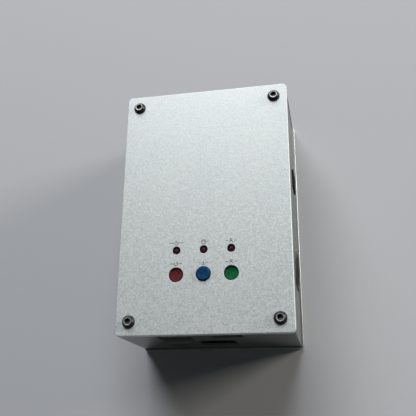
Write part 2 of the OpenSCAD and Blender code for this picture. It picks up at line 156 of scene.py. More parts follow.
@dataclass(frozen=True)
class Finish:
    """A surface as it was made: its colour and gloss, and how it varies.

    The grain and the relief's height are in millimetres. Contrast is the share by which the colour goes up
    and down, spread the lowest and highest share of the roughness, and detail how many octaves a noise has.
    """

    name: str
    colour: str
    roughness: float
    metallic: float = 0.0
    grain: float = 0.3
    relief: float = 0.004
    contrast: float = 0.08
    spread: ClassVar[tuple[float, float]] = (0.85, 1.15)
    detail: ClassVar[float] = 3.0

    def material(self) -> bpy.types.Material:
        """Makes the material once, and gives it again after that.

        Returns:
            The material.
        """
        known = bpy.data.materials.get(self.name)
        if known:
            return known
        made = bpy.data.materials.new(self.name)
        made.use_nodes = True
        tree = made.node_tree
        shader = tree.nodes["Principled BSDF"]
        given = {"Base Color": linear(self.colour), "Roughness": self.roughness, "Metallic": self.metallic}
        connect(tree, shader, given | self.dress(tree, add(tree, Kind.PLACE)))
        made.diffuse_color = linear(self.colour)
        return made

    def shade(self, factor: float) -> tuple[float, float, float, float]:
        """The finish's colour, lighter or darker by a factor."""
        red, green, blue, alpha = linear(self.colour)
        return (min(red * factor, 1.0), min(green * factor, 1.0), min(blue * factor, 1.0), alpha)

    def gloss(self) -> dict[str, float]:
        """Limits that carry a noise's usual values over to the spread of the roughness."""
        low, high = (self.roughness * share for share in self.spread)
        return {"From Min": NOISE_LOW, "From Max": NOISE_HIGH, "To Min": low, "To Max": high}

    def tones(self) -> dict[int, tuple]:
        """The darker and the lighter tone of the colour."""
        return {COLOUR_A: self.shade(1 - self.contrast), COLOUR_B: self.shade(1 + self.contrast)}

    def dress(self, tree: bpy.types.NodeTree, place: bpy.types.NodeSocket) -> dict:
        """One noise varies the colour, the gloss and the relief together.

        Args:
            tree: the material's node tree.
            place: the coordinates on the object.

        Returns:
            What feeds each input of the shader.
        """
        grain = add(tree, Kind.NOISE, pattern(place, self.grain) | {"Detail": self.detail})
        return {
            "Base Color": add(tree, Kind.BLEND, {MIXED_BY: grain} | self.tones(), data_type="RGBA"),
            "Roughness": add(tree, Kind.RANGE, {"Value": grain} | self.gloss()),
            "Normal": add(tree, Kind.RELIEF, {"Height": grain, "Distance": self.relief * MM}),
        }


@dataclass(frozen=True)
class BlastedAnodising(Finish):
    """Aluminium blasted with glass beads, then clear anodised: an even pale sparkle, with a painted highlight
    on its edges.

    The real grain is about 0.1 mm. It is drawn at 0.4 mm so that it shows at the render's size.
    The cloudiness changes over about 26 mm. The dark specks are balls with a radius of 0.3 mm round
    points about 13 mm apart in space, so only a few of them meet a surface.
    """

    speck_gap: float = 13.0
    speck: float = 0.022
    cloud: float = 26.0
    spread: ClassVar[tuple[float, float]] = (0.9, 1.1)
    sparkle: ClassVar[float] = 0.65
    speck_depth: ClassVar[float] = 0.5
    speck_tone: ClassVar[float] = 0.3
    # How much lighter the broken edges are painted: a painted highlight.
    edge_highlight_tone: ClassVar[float] = 1.06
    cool: ClassVar[str] = "f7f9fa"
    warm: ClassVar[str] = "fffefd"

    def dress(self, tree: bpy.types.NodeTree, place: bpy.types.NodeSocket) -> dict:
        """Sparkle from fine cells, a soft cloudiness, a few dark specks, and a painted highlight on broken
        edges.

        Args:
            tree: the material's node tree.
            place: the coordinates on the object.

        Returns:
            What feeds each input of the shader.
        """
        coarse = add(tree, Kind.NOISE, pattern(place, self.grain) | {"Detail": 2.0})
        cloud = add(tree, Kind.NOISE, pattern(place, self.cloud) | {"Detail": 1.0})
        cells = add(tree, Kind.CELL_COLOUR, pattern(place, self.grain))
        tone = add(tree, Kind.CHANNEL, {"Color": cells})
        wide = add(tree, Kind.RANGE, {"Value": coarse, "From Min": NOISE_LOW, "From Max": NOISE_HIGH})
        feeds = {MIXED_BY: self.sparkle, NUMBER_A: wide, NUMBER_B: tone}
        share = add(tree, Kind.SHARE, feeds, data_type="FLOAT")
        fine = add(tree, Kind.BLEND, {MIXED_BY: share} | self.tones(), data_type="RGBA")
        feeds = {MIXED_BY: cloud, COLOUR_A: linear(self.cool), COLOUR_B: linear(self.warm)}
        tint = add(tree, Kind.BLEND, feeds, data_type="RGBA")
        feeds = {MIXED_BY: 1.0, COLOUR_A: fine, COLOUR_B: tint}
        soft = add(tree, Kind.BLEND, feeds, data_type="RGBA", blend_type="MULTIPLY")
        centre = add(tree, Kind.CELL_REACH, pattern(place, self.speck_gap))
        near = add(tree, Kind.SUM, {FIRST: centre, SECOND: self.speck}, operation="LESS_THAN")
        dark = add(tree, Kind.SUM, {FIRST: near, SECOND: self.speck_depth}, operation="MULTIPLY")
        feeds = {MIXED_BY: dark, COLOUR_A: soft, COLOUR_B: self.shade(self.speck_tone)}
        spotted = add(tree, Kind.BLEND, feeds, data_type="RGBA")
        # Broken edges are painted lighter here: a painted highlight.
        wear_highlight_mask = add(tree, Kind.MARK, attribute_name="wear")
        feeds = {MIXED_BY: wear_highlight_mask, COLOUR_A: spotted, COLOUR_B: self.shade(self.edge_highlight_tone)}
        return {
            "Base Color": add(tree, Kind.BLEND, feeds, data_type="RGBA"),
            "Roughness": add(tree, Kind.RANGE, {"Value": tone} | self.gloss()),
            "Normal": add(tree, Kind.RELIEF, {"Height": tone, "Distance": self.relief * MM}),
        }


@dataclass(frozen=True)
class WornCoat(Finish):
    """A dark coat on steel or aluminium that wears through to bright metal where tools and hands touch it."""

    bare: str = "b9b6b0"
    shine: float = 0.5
    spread: ClassVar[tuple[float, float]] = (0.8, 1.2)
    worn_from: ClassVar[float] = 0.22
    worn_through: ClassVar[float] = 0.5

    def dress(self, tree: bpy.types.NodeTree, place: bpy.types.NodeSocket) -> dict:
        """Bare metal shows where the mark for wear and painted highlight is high and a fine noise breaks it
        up.

        Args:
            tree: the material's node tree.
            place: the coordinates on the object.

        Returns:
            What feeds each input of the shader.
        """
        grain = add(tree, Kind.NOISE, pattern(place, self.grain) | {"Detail": self.detail})
        wear_highlight_mask = add(tree, Kind.MARK, attribute_name="wear")
        edge = add(tree, Kind.SUM, {FIRST: wear_highlight_mask, SECOND: grain}, operation="MULTIPLY")
        feeds = {"Value": edge, "From Min": self.worn_from, "From Max": self.worn_through}
        share = add(tree, Kind.RANGE, feeds)
        coat = add(tree, Kind.BLEND, {MIXED_BY: grain} | self.tones(), data_type="RGBA")
        feeds = {MIXED_BY: share, COLOUR_A: coat, COLOUR_B: linear(self.bare)}
        return {
            "Base Color": add(tree, Kind.BLEND, feeds, data_type="RGBA"),
            "Roughness": add(tree, Kind.RANGE, {"Value": grain} | self.gloss()),
            "Normal": add(tree, Kind.RELIEF, {"Height": grain, "Distance": self.relief * MM}),
            "Specular IOR Level": self.shine,
        }


@dataclass(frozen=True)
class RolledSheet(Finish):
    """Rolled, drawn or turned metal: faint lines drawn out along its length under the shine."""

    spread: ClassVar[tuple[float, float]] = (0.7, 1.3)
    drawn_out: ClassVar[tuple[float, float, float]] = (1.0, 0.08, 1.0)

    def dress(self, tree: bpy.types.NodeTree, place: bpy.types.NodeSocket) -> dict:
        """Noise drawn out along the metal gives the lines.

        Args:
            tree: the material's node tree.
            place: the coordinates on the object.

        Returns:
            What feeds each input of the shader.
        """
        long = add(tree, Kind.STRETCH, {"Vector": place, "Scale": self.drawn_out})
        lines = add(tree, Kind.NOISE, pattern(long, self.grain) | {"Detail": self.detail})
        return {
            "Base Color": add(tree, Kind.BLEND, {MIXED_BY: lines} | self.tones(), data_type="RGBA"),
            "Roughness": add(tree, Kind.RANGE, {"Value": lines} | self.gloss()),
            "Normal": add(tree, Kind.RELIEF, {"Height": lines, "Distance": self.relief * MM}),
        }


@dataclass(frozen=True)
class MouldedPlastic(Finish):
    """Plastic from a spark-eroded mould: a fine pebbled skin takes the shine off, and rubbed edges are paler.

    The real pebble is about 0.1 mm. On the caps it is drawn at 0.8 mm so that it shows at the render's size.
    """

    shine: float = 0.12
    spread: ClassVar[tuple[float, float]] = (0.85, 1.2)
    finer: ClassVar[float] = 0.6
    rubbed_tone: ClassVar[float] = 1.5

    def dress(self, tree: bpy.types.NodeTree, place: bpy.types.NodeSocket) -> dict:
        """Pebbles in colour and height, with a finer noise in them, and paler rubbed edges.

        Args:
            tree: the material's node tree.
            place: the coordinates on the object.

        Returns:
            What feeds each input of the shader.
        """
        cells = add(tree, Kind.CELL_COLOUR, pattern(place, self.grain))
        reach = add(tree, Kind.CELL_REACH, pattern(place, self.grain))
        tone = add(tree, Kind.CHANNEL, {"Color": cells})
        fine = add(tree, Kind.NOISE, pattern(place, self.grain * self.finer) | {"Detail": self.detail})
        both = add(tree, Kind.SUM, {FIRST: tone, SECOND: fine}, operation="MULTIPLY")
        # The product of two shares is low, so the lighter tone goes twice as far as the darker one.
        feeds = {MIXED_BY: both} | self.tones() | {COLOUR_B: self.shade(1 + 2 * self.contrast)}
        pebbled = add(tree, Kind.BLEND, feeds, data_type="RGBA")
        wear_highlight_mask = add(tree, Kind.MARK, attribute_name="wear")
        feeds = {MIXED_BY: wear_highlight_mask, COLOUR_A: pebbled, COLOUR_B: self.shade(self.rubbed_tone)}
        return {
            "Base Color": add(tree, Kind.BLEND, feeds, data_type="RGBA"),
            "Roughness": add(tree, Kind.RANGE, {"Value": fine} | self.gloss()),
            "Normal": add(tree, Kind.RELIEF, {"Height": reach, "Distance": self.relief * MM}),
            "Specular IOR Level": self.shine,
        }


@dataclass(frozen=True)
class TintedEpoxy(Finish):
    """Cast epoxy of a lamp, tinted deep red: mostly the tint shows, and only a trace of the cup inside."""

    clearness: ClassVar[float] = 0.1
    bend: ClassVar[float] = 1.54
    shine: ClassVar[float] = 0.06

    def dress(self, tree: bpy.types.NodeTree, place: bpy.types.NodeSocket) -> dict:
        """A little clear and hardly shiny, with a faint flow in the tint.

        Args:
            tree: the material's node tree.
            place: the coordinates on the object.

        Returns:
            What feeds each input of the shader.
        """
        flow = add(tree, Kind.NOISE, pattern(place, self.grain) | {"Detail": self.detail})
        return {
            "Base Color": add(tree, Kind.BLEND, {MIXED_BY: flow} | self.tones(), data_type="RGBA"),
            "Normal": add(tree, Kind.RELIEF, {"Height": flow, "Distance": self.relief * MM}),
            "Transmission Weight": self.clearness,
            "IOR": self.bend,
            "Specular IOR Level": self.shine,
        }


@dataclass(frozen=True)
class SolderMask(Finish):
    """Green lacquer over copper on glass fibre: the traces show as paler lines under the gloss.

    The cells between them are about three pin pitches of 1.27 mm wide.
    """

    trace_gap: ClassVar[float] = 3.81
    trace: ClassVar[float] = 0.09
    trace_tone: ClassVar[float] = 1.7

    def dress(self, tree: bpy.types.NodeTree, place: bpy.types.NodeSocket) -> dict:
        """Thin walls between square cells stand for traces, and a fine noise for the glass weave.

        Args:
            tree: the material's node tree.
            place: the coordinates on the object.

        Returns:
            What feeds each input of the shader.
        """
        feeds = pattern(place, self.trace_gap)
        nearest, next_nearest = (
            add(tree, Kind.CELL_REACH, feeds, distance="MANHATTAN", feature=rank) for rank in ("F1", "F2")
        )
        gap = add(tree, Kind.SUM, {FIRST: next_nearest, SECOND: nearest}, operation="SUBTRACT")
        trace = add(tree, Kind.SUM, {FIRST: gap, SECOND: self.trace}, operation="LESS_THAN")
        weave = add(tree, Kind.NOISE, pattern(place, self.grain) | {"Detail": self.detail})
        base = add(tree, Kind.BLEND, {MIXED_BY: weave} | self.tones(), data_type="RGBA")
        feeds = {MIXED_BY: trace, COLOUR_A: base, COLOUR_B: self.shade(self.trace_tone)}
        return {
            "Base Color": add(tree, Kind.BLEND, feeds, data_type="RGBA"),
            "Normal": add(tree, Kind.RELIEF, {"Height": trace, "Distance": self.relief * MM}),
        }


# Pale silver with a fine sparkle. The oxide layer scatters some light, so it isn't wholly metallic.
LID_ALUMINIUM = BlastedAnodising("blasted_anodised_aluminium", "d2d6d4", 0.52, 0.5, 0.42, 0.0004, 0.25)
# Smooth satin grey with a blurred reflection of the floor, its colour painted darker than the lid's: painted
# shade.
SHADED_WALL_ALUMINIUM = BlastedAnodising("satin_anodised_aluminium_painted_shade", "878a89", 0.33, 1.0, 0.4, 0.0003, 0.1)
# Plain silver that catches the light along its edge, with a painted highlight on its broken edges.
BASE_ALUMINIUM = BlastedAnodising("bright_anodised_aluminium", "b2b6b4", 0.38, 1.0, 0.4, 0.0003, 0.1)
# Nearly black, without a gleam, a little greyer where its edges rub.
REAR_ALUMINIUM = WornCoat("dark_anodised_aluminium", "17181a", 0.66, 0.0, 0.4, 0.001, 0.15, "333436", 0.08)
# Charcoal steel with bright metal on the rim of the socket, where the key bites, and a painted reflection in
# the bare metal's colour on the socket's walls and floor.
BLACK_OXIDE = WornCoat("black_oxide_steel", "2f2f31", 0.4, 0.6, 0.25, 0.002, 0.2, "b8b5b0", 0.3)
# Warm grey plate with faint straight lines, painted darker than bright nickel so that the sockets stay deep:
# painted shade.
SHADED_NICKEL_SHEET = RolledSheet("nickel_plated_sheet_painted_shade", "8c8a86", 0.32, 1.0, 0.25, 0.002, 0.06)
# Cool clean metal with turning lines.
TURNED_ALUMINIUM = RolledSheet("turned_aluminium", "c9cbcc", 0.3, 1.0, 0.2, 0.002, 0.05)
# Yellow metal with turning lines.
TURNED_BRASS = RolledSheet("turned_brass", "c9a45a", 0.27, 1.0, 0.2, 0.002, 0.06)
# Deep yellow and the shiniest of the metals.
GOLD_PLATE = RolledSheet("gold_plated_contact", "e2b65a", 0.18, 1.0, 0.15, 0.001, 0.05)
# Bright grey spring metal.
SPRING_STEEL = RolledSheet("spring_steel", "c9c8c6", 0.2, 1.0, 0.2, 0.001, 0.05)
# Black, almost without a gleam, with a faint mould grain.
BLACK_NYLON = MouldedPlastic("moulded_black_nylon", "0d0e12", 0.55, 0.0, 0.25, 0.006, 0.2, 0.1)
# Warm off-white with a soft sheen.
IVORY_NYLON = Finish("moulded_ivory_nylon", "dcd6c3", 0.45, 0.0, 0.3, 0.008, 0.05)
# Muted dark red, matt and slightly mottled.
RED_ABS = MouldedPlastic("moulded_red_abs", "6c282e", 0.6, 0.0, 0.8, 0.02, 0.4)
# Deep blue, matt and slightly mottled.
BLUE_ABS = MouldedPlastic("moulded_blue_abs", "053e6a", 0.6, 0.0, 0.8, 0.02, 0.4)
# Deep green, matt and slightly mottled.
GREEN_ABS = MouldedPlastic("moulded_green_abs", "03693c", 0.6, 0.0, 0.8, 0.02, 0.4)
# Dull dark grey of chip packages.
CHIP_EPOXY = Finish("moulded_chip_epoxy", "26262a", 0.6, 0.0, 0.15, 0.008, 0.2)
# Soft pale blue, without a gleam.
GAP_RUBBER = Finish("silicone_gap_pad", "8fa9c4", 0.75, 0.0, 0.4, 0.02, 0.08)
# Black with a dull metal sheen.
SINK_ALUMINIUM = Finish("black_anodised_sink", "25262a", 0.5, 0.6, 0.4, 0.006, 0.12)
# Very dark red, as a lamp that is switched off.
LAMP_EPOXY = TintedEpoxy("tinted_lamp_epoxy", "4a222a", 0.5, 0.0, 0.8, 0.004, 0.2)
# Glossy green with paler traces.
GREEN_MASK = SolderMask("green_solder_mask", "12542f", 0.28, 0.0, 0.3, 0.02, 0.06)
# Matt grey print, a little broken.
GREY_INK = Finish("printed_grey_ink", "626967", 0.6, 0.0, 0.2, 0.003, 0.15)


# ---------------------------------------------------------------- shapes


class Facing(Enum):
    """Which way a face looks. The rows point to its right, up on it and out of it, as seen from outside."""

    BOTTOM = ((1, 0, 0), (0, -1, 0), (0, 0, -1))
    FRONT = ((1, 0, 0), (0, 0, 1), (0, -1, 0))
    RIGHT = ((0, 1, 0), (0, 0, 1), (1, 0, 0))
    REAR = ((-1, 0, 0), (0, 0, 1), (0, 1, 0))
    LEFT = ((0, -1, 0), (0, 0, 1), (-1, 0, 0))

    def place(self, points: np.ndarray, origin: Sequence[float]) -> np.ndarray:
        """Carries points from a face's own axes to the frame's axes.

        Args:
            points: one row (right, up, out) per point.
            origin: where the face's own zero lies in the frame.

        Returns:
            One row (x, y, z) per point.
        """
        return points @ np.array(self.value, float) + np.array(origin, float)


@dataclass
class Span:
    """The box of a CAD node, in millimetres."""

    lo: np.ndarray
    hi: np.ndarray

    @classmethod
    def of(cls, node: str) -> "Span":
        """The box of that node at rest."""
        low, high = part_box(node)
        return cls(np.array(low) / MM, np.array(high) / MM)

    @property
    def middle(self) -> np.ndarray:
        """Its centre."""
        return (self.lo + self.hi) / 2

    @property
    def size(self) -> np.ndarray:
        """Its three extents."""
        return self.hi - self.lo


@dataclass
class Surface:
    """Points, faces and a mark per point for wear and painted highlight, in millimetres."""

    points: np.ndarray
    faces: list[list[int]]
    wear: np.ndarray

    def placed(self, facing: Facing, origin: Sequence[float]) -> "Surface":
        """The surface carried to a face of the object."""
        return Surface(facing.place(self.points, origin), self.faces, self.wear)

    def shifted(self, offset: Sequence[float]) -> "Surface":
        """The surface moved without a turn."""
        return Surface(self.points + np.array(offset, float), self.faces, self.wear)

    def swapped(self, order: Sequence[int]) -> "Surface":
        """The surface with its axes taken in another order."""
        return Surface(self.points[:, list(order)], self.faces, self.wear)


def join(surfaces: Iterable[Surface]) -> Surface:
    """Puts several surfaces into one, renumbering their faces.

    Args:
        surfaces: the surfaces, in order.

    Returns:
        One surface with all their points and faces.
    """
    points, faces, wear, count = [], [], [], 0
    for part in surfaces:
        points.append(part.points)
        wear.append(part.wear)
        faces.extend([[i + count for i in face] for face in part.faces])
        count += len(part.points)
    return Surface(np.concatenate(points), faces, np.concatenate(wear))


def band_faces(rings: int, around: int) -> list[list[int]]:
    """Quads between neighbouring rings of one closed band.

    Face (i, j) joins points j and j + 1 of ring i with those of ring i + 1, the last point with the first.

    Args:
        rings: how many rings the band has.
        around: how many points each ring has.

    Returns:
        One list of four point numbers per face.
    """
    i, j = np.meshgrid(np.arange(rings - 1), np.arange(around), indexing="ij")
    k = (j + 1) % around
    quads = np.stack([i * around + j, i * around + k, (i + 1) * around + k, (i + 1) * around + j], -1)
    return quads.reshape(-1, 4).tolist()


def round_rect(width: float, height: float, radius: float, steps: int = 8) -> np.ndarray:
    """Outline of a rectangle with round corners, centred, anticlockwise.

    Each corner is a quarter circle: its centre plus radius times (cos a, sin a).

    Args:
        width: its full width.
        height: its full height.
        radius: radius of its corners.
        steps: points on each corner.

    Returns:
        One row (x, y) per point.
    """
    turn = np.linspace(0, np.pi / 2, steps)
    quarter = turn[None, :] + np.arange(4)[:, None] * np.pi / 2
    side = np.array([[1, 1], [-1, 1], [-1, -1], [1, -1]]) * (np.array([width, height]) / 2 - radius)
    arcs = side[:, None, :] + radius * np.stack([np.cos(quarter), np.sin(quarter)], -1)
    return arcs.reshape(-1, 2)


def circle(radius: float, around: int = TURN_STEPS) -> np.ndarray:
    """Outline of a circle, anticlockwise: radius times (cos a, sin a).

    Args:
        radius: its radius.
        around: how many points it has.

    Returns:
        One row (x, y) per point.
    """
    turn = np.linspace(0, 2 * np.pi, around, endpoint=False)
    return radius * np.stack([np.cos(turn), np.sin(turn)], -1)


def grown(loop: np.ndarray, by: float) -> np.ndarray:
    """An outline moved outwards by a distance, or inwards if it is negative.

    Each point moves along the sum of its two edges' normals, divided by one plus their dot product,
    so that both edges move by the same distance.

    Args:
        loop: an anticlockwise outline.
        by: the distance.

    Returns:
        The moved outline, point for point.
    """
    edge = np.roll(loop, -1, 0) - loop
    length = np.maximum(np.linalg.norm(edge, axis=1, keepdims=True), 1e-9)
    normal = np.stack([edge[:, 1], -edge[:, 0]], -1) / length
    before = np.roll(normal, 1, 0)
    shared = 1 + (normal * before).sum(1, keepdims=True)
    return loop + by * (normal + before) / np.maximum(shared, 0.2)


def flat_cap(loops: Sequence[np.ndarray], height: float) -> Surface:
    """A flat face inside the first outline and outside the others, as constrained triangles.

    Args:
        loops: the outline, then those of its holes.
        height: height of the face.

    Returns:
        The flat face.
    """
    corners = [Vector(p) for loop in loops for p in loop.tolist()]
    starts = np.cumsum([0] + [len(loop) for loop in loops])
    rims = [list(range(first, last)) for first, last in zip(starts[:-1].tolist(), starts[1:].tolist())]
    found = delaunay_2d_cdt(corners, [], rims, 2, 1e-7)
    flat = np.array([tuple(v) for v in found[0]])
    points = np.column_stack([flat, np.full(len(flat), height)])
    return Surface(points, [list(face) for face in found[2]], np.zeros(len(flat)))


def skin(loop: np.ndarray, stations: Sequence[Station], capped: bool = True) -> Surface:
    """An outline carried through stations of (growth, height, mark for wear and painted highlight), closed at
    both ends if capped.

    Args:
        loop: the outline.
        stations: growth, height and mark for wear and painted highlight at each ring.
        capped: whether both ends are closed.

    Returns:
        The skin, closed at its ends if capped.
    """
    rings = [np.column_stack([grown(loop, grow), np.full(len(loop), level)]) for grow, level, _ in stations]
    wear = np.repeat([mark for _, _, mark in stations], len(loop))
    side = Surface(np.concatenate(rings), band_faces(len(rings), len(loop)), wear)
    if not capped:
        return side
    ends = [flat_cap([grown(loop, stations[i][0])], stations[i][1]) for i in (0, -1)]
    return join([side, *ends])


def edge_break(top: float, bevel: float, sign: float, steps: int = 4) -> list[Station]:
    """Stations of a rounded edge between a flat face and a wall, with a flat rim on either side of it.

    The growth is minus bevel times (1 - sin a) and the height falls by bevel times (1 - cos a), a from 0 to
    90 degrees. The mark is sin 2a: 1 in the middle of the round and 0 on the flats. On plastic it is wear,
    on the anodised aluminium a painted highlight.

    Args:
        top: height of the flat face.
        bevel: size of the round.
        sign: 1 under an upper face, -1 over a lower one.
        steps: how many bands the round has.

    Returns:
        The stations, from the face to the wall.
    """
    rim = min(bevel * 0.5, RIM)
    turn = np.linspace(0, np.pi / 2, steps + 1)
    round_part = [
        (-bevel * (1 - math.sin(a)), top - sign * bevel * (1 - math.cos(a)), math.sin(2 * a)) for a in turn
    ]
    return [(-bevel - rim, top, 0.0), *round_part, (0.0, top - sign * (bevel + rim), 0.0)]


def edges(high: float, low: float, bevel: float) -> list[Station]:
    """Stations from an upper face to a lower one, with both edges broken."""
    return edge_break(high, bevel, 1) + edge_break(low, bevel, -1)[::-1]


def pierced(loop: np.ndarray, outer: Sequence[Station], holes: Sequence[tuple]) -> Surface:
    """A plate with holes right through it.

    Args:
        loop: its outline.
        outer: stations of its edge, from the upper face to the lower one.
        holes: the outline of each hole, and its stations from the upper face to the lower one.

    Returns:
        One closed surface.
    """
    parts = [skin(loop, outer, False)] + [skin(hole, inner, False) for hole, inner in holes]
    for end in (0, -1):
        rims = [grown(loop, outer[end][0])] + [grown(hole, inner[end][0]) for hole, inner in holes]
        parts.append(flat_cap(rims, outer[end][1]))
    return join(parts)


def blind(loop: np.ndarray, outer: Sequence[Station], hole: np.ndarray, inner: Sequence[Station]) -> Surface:
    """A block with one hole in its front that ends on a flat floor.

    Args:
        loop: its outline.
        outer: stations of the block, from its front to its back.
        hole: outline of the hole.
        inner: stations of the hole, from the front to its floor.

    Returns:
        One closed surface.
    """
    front = flat_cap([grown(loop, outer[0][0]), grown(hole, inner[0][0])], outer[0][1])
    floor = flat_cap([grown(hole, inner[-1][0])], inner[-1][1])
    rear = flat_cap([grown(loop, outer[-1][0])], outer[-1][1])
    return join([skin(loop, outer, False), skin(hole, inner, False), front, floor, rear])


def slab(
    loop: np.ndarray,
    low: float,
    high: float,
    bevel: float,
    holes: Sequence[np.ndarray] = (),
    hole_bevel: float = 0.1,
) -> Surface:
    """A plate between two heights with broken edges, pierced by holes.

    Args:
        loop: its outline.
        low: height of its lower face.
        high: height of its upper face.
        bevel: size of the broken outer edge.
        holes: outlines of the holes.
        hole_bevel: size of the broken edge of the holes.

    Returns:
        One closed surface.
    """
    inner = [(-growth, level, mark) for growth, level, mark in edges(high, low, hole_bevel)]
    return pierced(loop, edges(high, low, bevel), [(hole, inner) for hole in holes])


def turned(rings: Sequence[Ring], around: int = TURN_STEPS, spin: float = 0.0) -> Surface:
    """A body turned about the height axis, whose rings may change from a circle to a hexagon.

    Each ring is (radius, height, hexagon share, mark for wear and painted highlight). A full hexagon has that
    radius as its half width across flats: its polar radius is radius / cos((a mod 60) - 30 degrees). A ring
    of radius 0 is a pole.

    Args:
        rings: the rings, from inside and below to the top.
        around: how many points each ring has.
        spin: turn of the whole body, in degrees.

    Returns:
        The turned surface.
    """
    turn = np.linspace(0, 2 * np.pi, around, endpoint=False)
    hexed = 1 / np.cos(np.mod(turn, np.pi / 3) - np.pi / 6)
    table = np.array(rings, float)
    radius = table[:, 0:1] * (1 + table[:, 2:3] * (hexed[None, :] - 1))
    angle = turn + math.radians(spin)
    height = np.broadcast_to(table[:, 1:2], radius.shape)
    points = np.stack([radius * np.cos(angle), radius * np.sin(angle), height], -1).reshape(-1, 3)
    return Surface(points, band_faces(len(rings), around), np.repeat(table[:, 3], around))


def plain(levels: Iterable[tuple[float, float]], mark: float = 0.0) -> list[Ring]:
    """Round rings from pairs of radius and height, all with one mark for wear and painted highlight."""
    return [(radius, level, 0.0, mark) for radius, level in levels]


def strip(path: np.ndarray, thick: float, wide: float, looped: bool = False) -> Surface:
    """A flat bar bent along a path in one plane.

    Its section is a rectangle: thick across the path in the plane, and wide across the plane. The normal at a
    point is square to the line between its two neighbours.

    Args:
        path: one row per point along the bar.
        thick: its thickness in the plane.
        wide: its width across the plane.
        looped: whether its ends meet.

    Returns:
        The bar, closed at its ends.
    """
    if looped:
        along = np.roll(path, -1, 0) - np.roll(path, 1, 0)
    else:
        along = np.gradient(path, axis=0)
    along = along / np.linalg.norm(along, axis=1, keepdims=True)
    across = np.stack([-along[:, 1], along[:, 0]], -1) * thick / 2
    sides = np.array([[1, 1], [-1, 1], [-1, -1], [1, -1]], float)
    flat = path[:, None, :] + across[:, None, :] * sides[None, :, 0:1]
    depth = np.broadcast_to(sides[None, :, 1:2] * wide / 2, (len(path), 4, 1))
    points = np.concatenate([flat, depth], -1).reshape(-1, 3)
    faces = band_faces(len(path), 4)
    last = (len(path) - 1) * 4
    if looped:
        faces += [[last + j, last + (j + 1) % 4, (j + 1) % 4, j] for j in range(4)]
    else:
        faces += [[0, 1, 2, 3], [last, last + 1, last + 2, last + 3]]
    return Surface(points, faces, np.zeros(len(points)))


def arc(centre: Sequence[float], radius: float, start: float, end: float, steps: int = 16) -> np.ndarray:
    """Points on an arc: centre plus radius times (cos a, sin a), a in degrees from start to end.

    Args:
        centre: centre of the arc.
        radius: its radius.
        start: angle of its first point.
        end: angle of its last point.
        steps: how many points it has.

    Returns:
        One row (x, y) per point.
    """
    turn = np.radians(np.linspace(start, end, steps))
    return np.array(centre, float) + radius * np.stack([np.cos(turn), np.sin(turn)], -1)


def build(
    name: str,
    surfaces: Iterable[Surface],
    look: Finish,
    slot: str,
    body: str = BOX,
    stands_for: Sequence[str] = (),
    crease: float = 34.0,
) -> bpy.types.Object:
    """Makes one piece of the object and ties it to the frame.

    Args:
        name: the piece's name.
        surfaces: what it is made of.
        look: its finish.
        slot: the name of a material slot; not used.
        body: the CAD body it rides on.
        stands_for: the CAD nodes it replaces.
        crease: edges sharper than this many degrees stay sharp.

    Returns:
        The new object.
    """
    whole = join(surfaces)
    mesh = bpy.data.meshes.new(name)
    mesh.from_pydata((whole.points * MM).tolist(), [], whole.faces)
    mesh.attributes.new("wear", "FLOAT", "POINT").data.foreach_set("value", whole.wear.astype(np.float32))
    work = bmesh.new()
    work.from_mesh(mesh)
    bmesh.ops.remove_doubles(work, verts=work.verts, dist=MERGE * MM)
    bmesh.ops.recalc_face_normals(work, faces=work.faces)
    work.to_mesh(mesh)
    work.free()
    mesh.shade_smooth()
    mesh.set_sharp_from_angle(angle=math.radians(crease))
    mesh.materials.append(look.material())
    made = bpy.data.objects.new(name, mesh)
    bpy.context.scene.collection.objects.link(made)
    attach(made, body)
    if stands_for:
        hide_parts(*stands_for)
    LOG.info("%s: %d faces, rides on %s", name, len(mesh.polygons), body)
    return made


# ---------------------------------------------------------------- enclosure


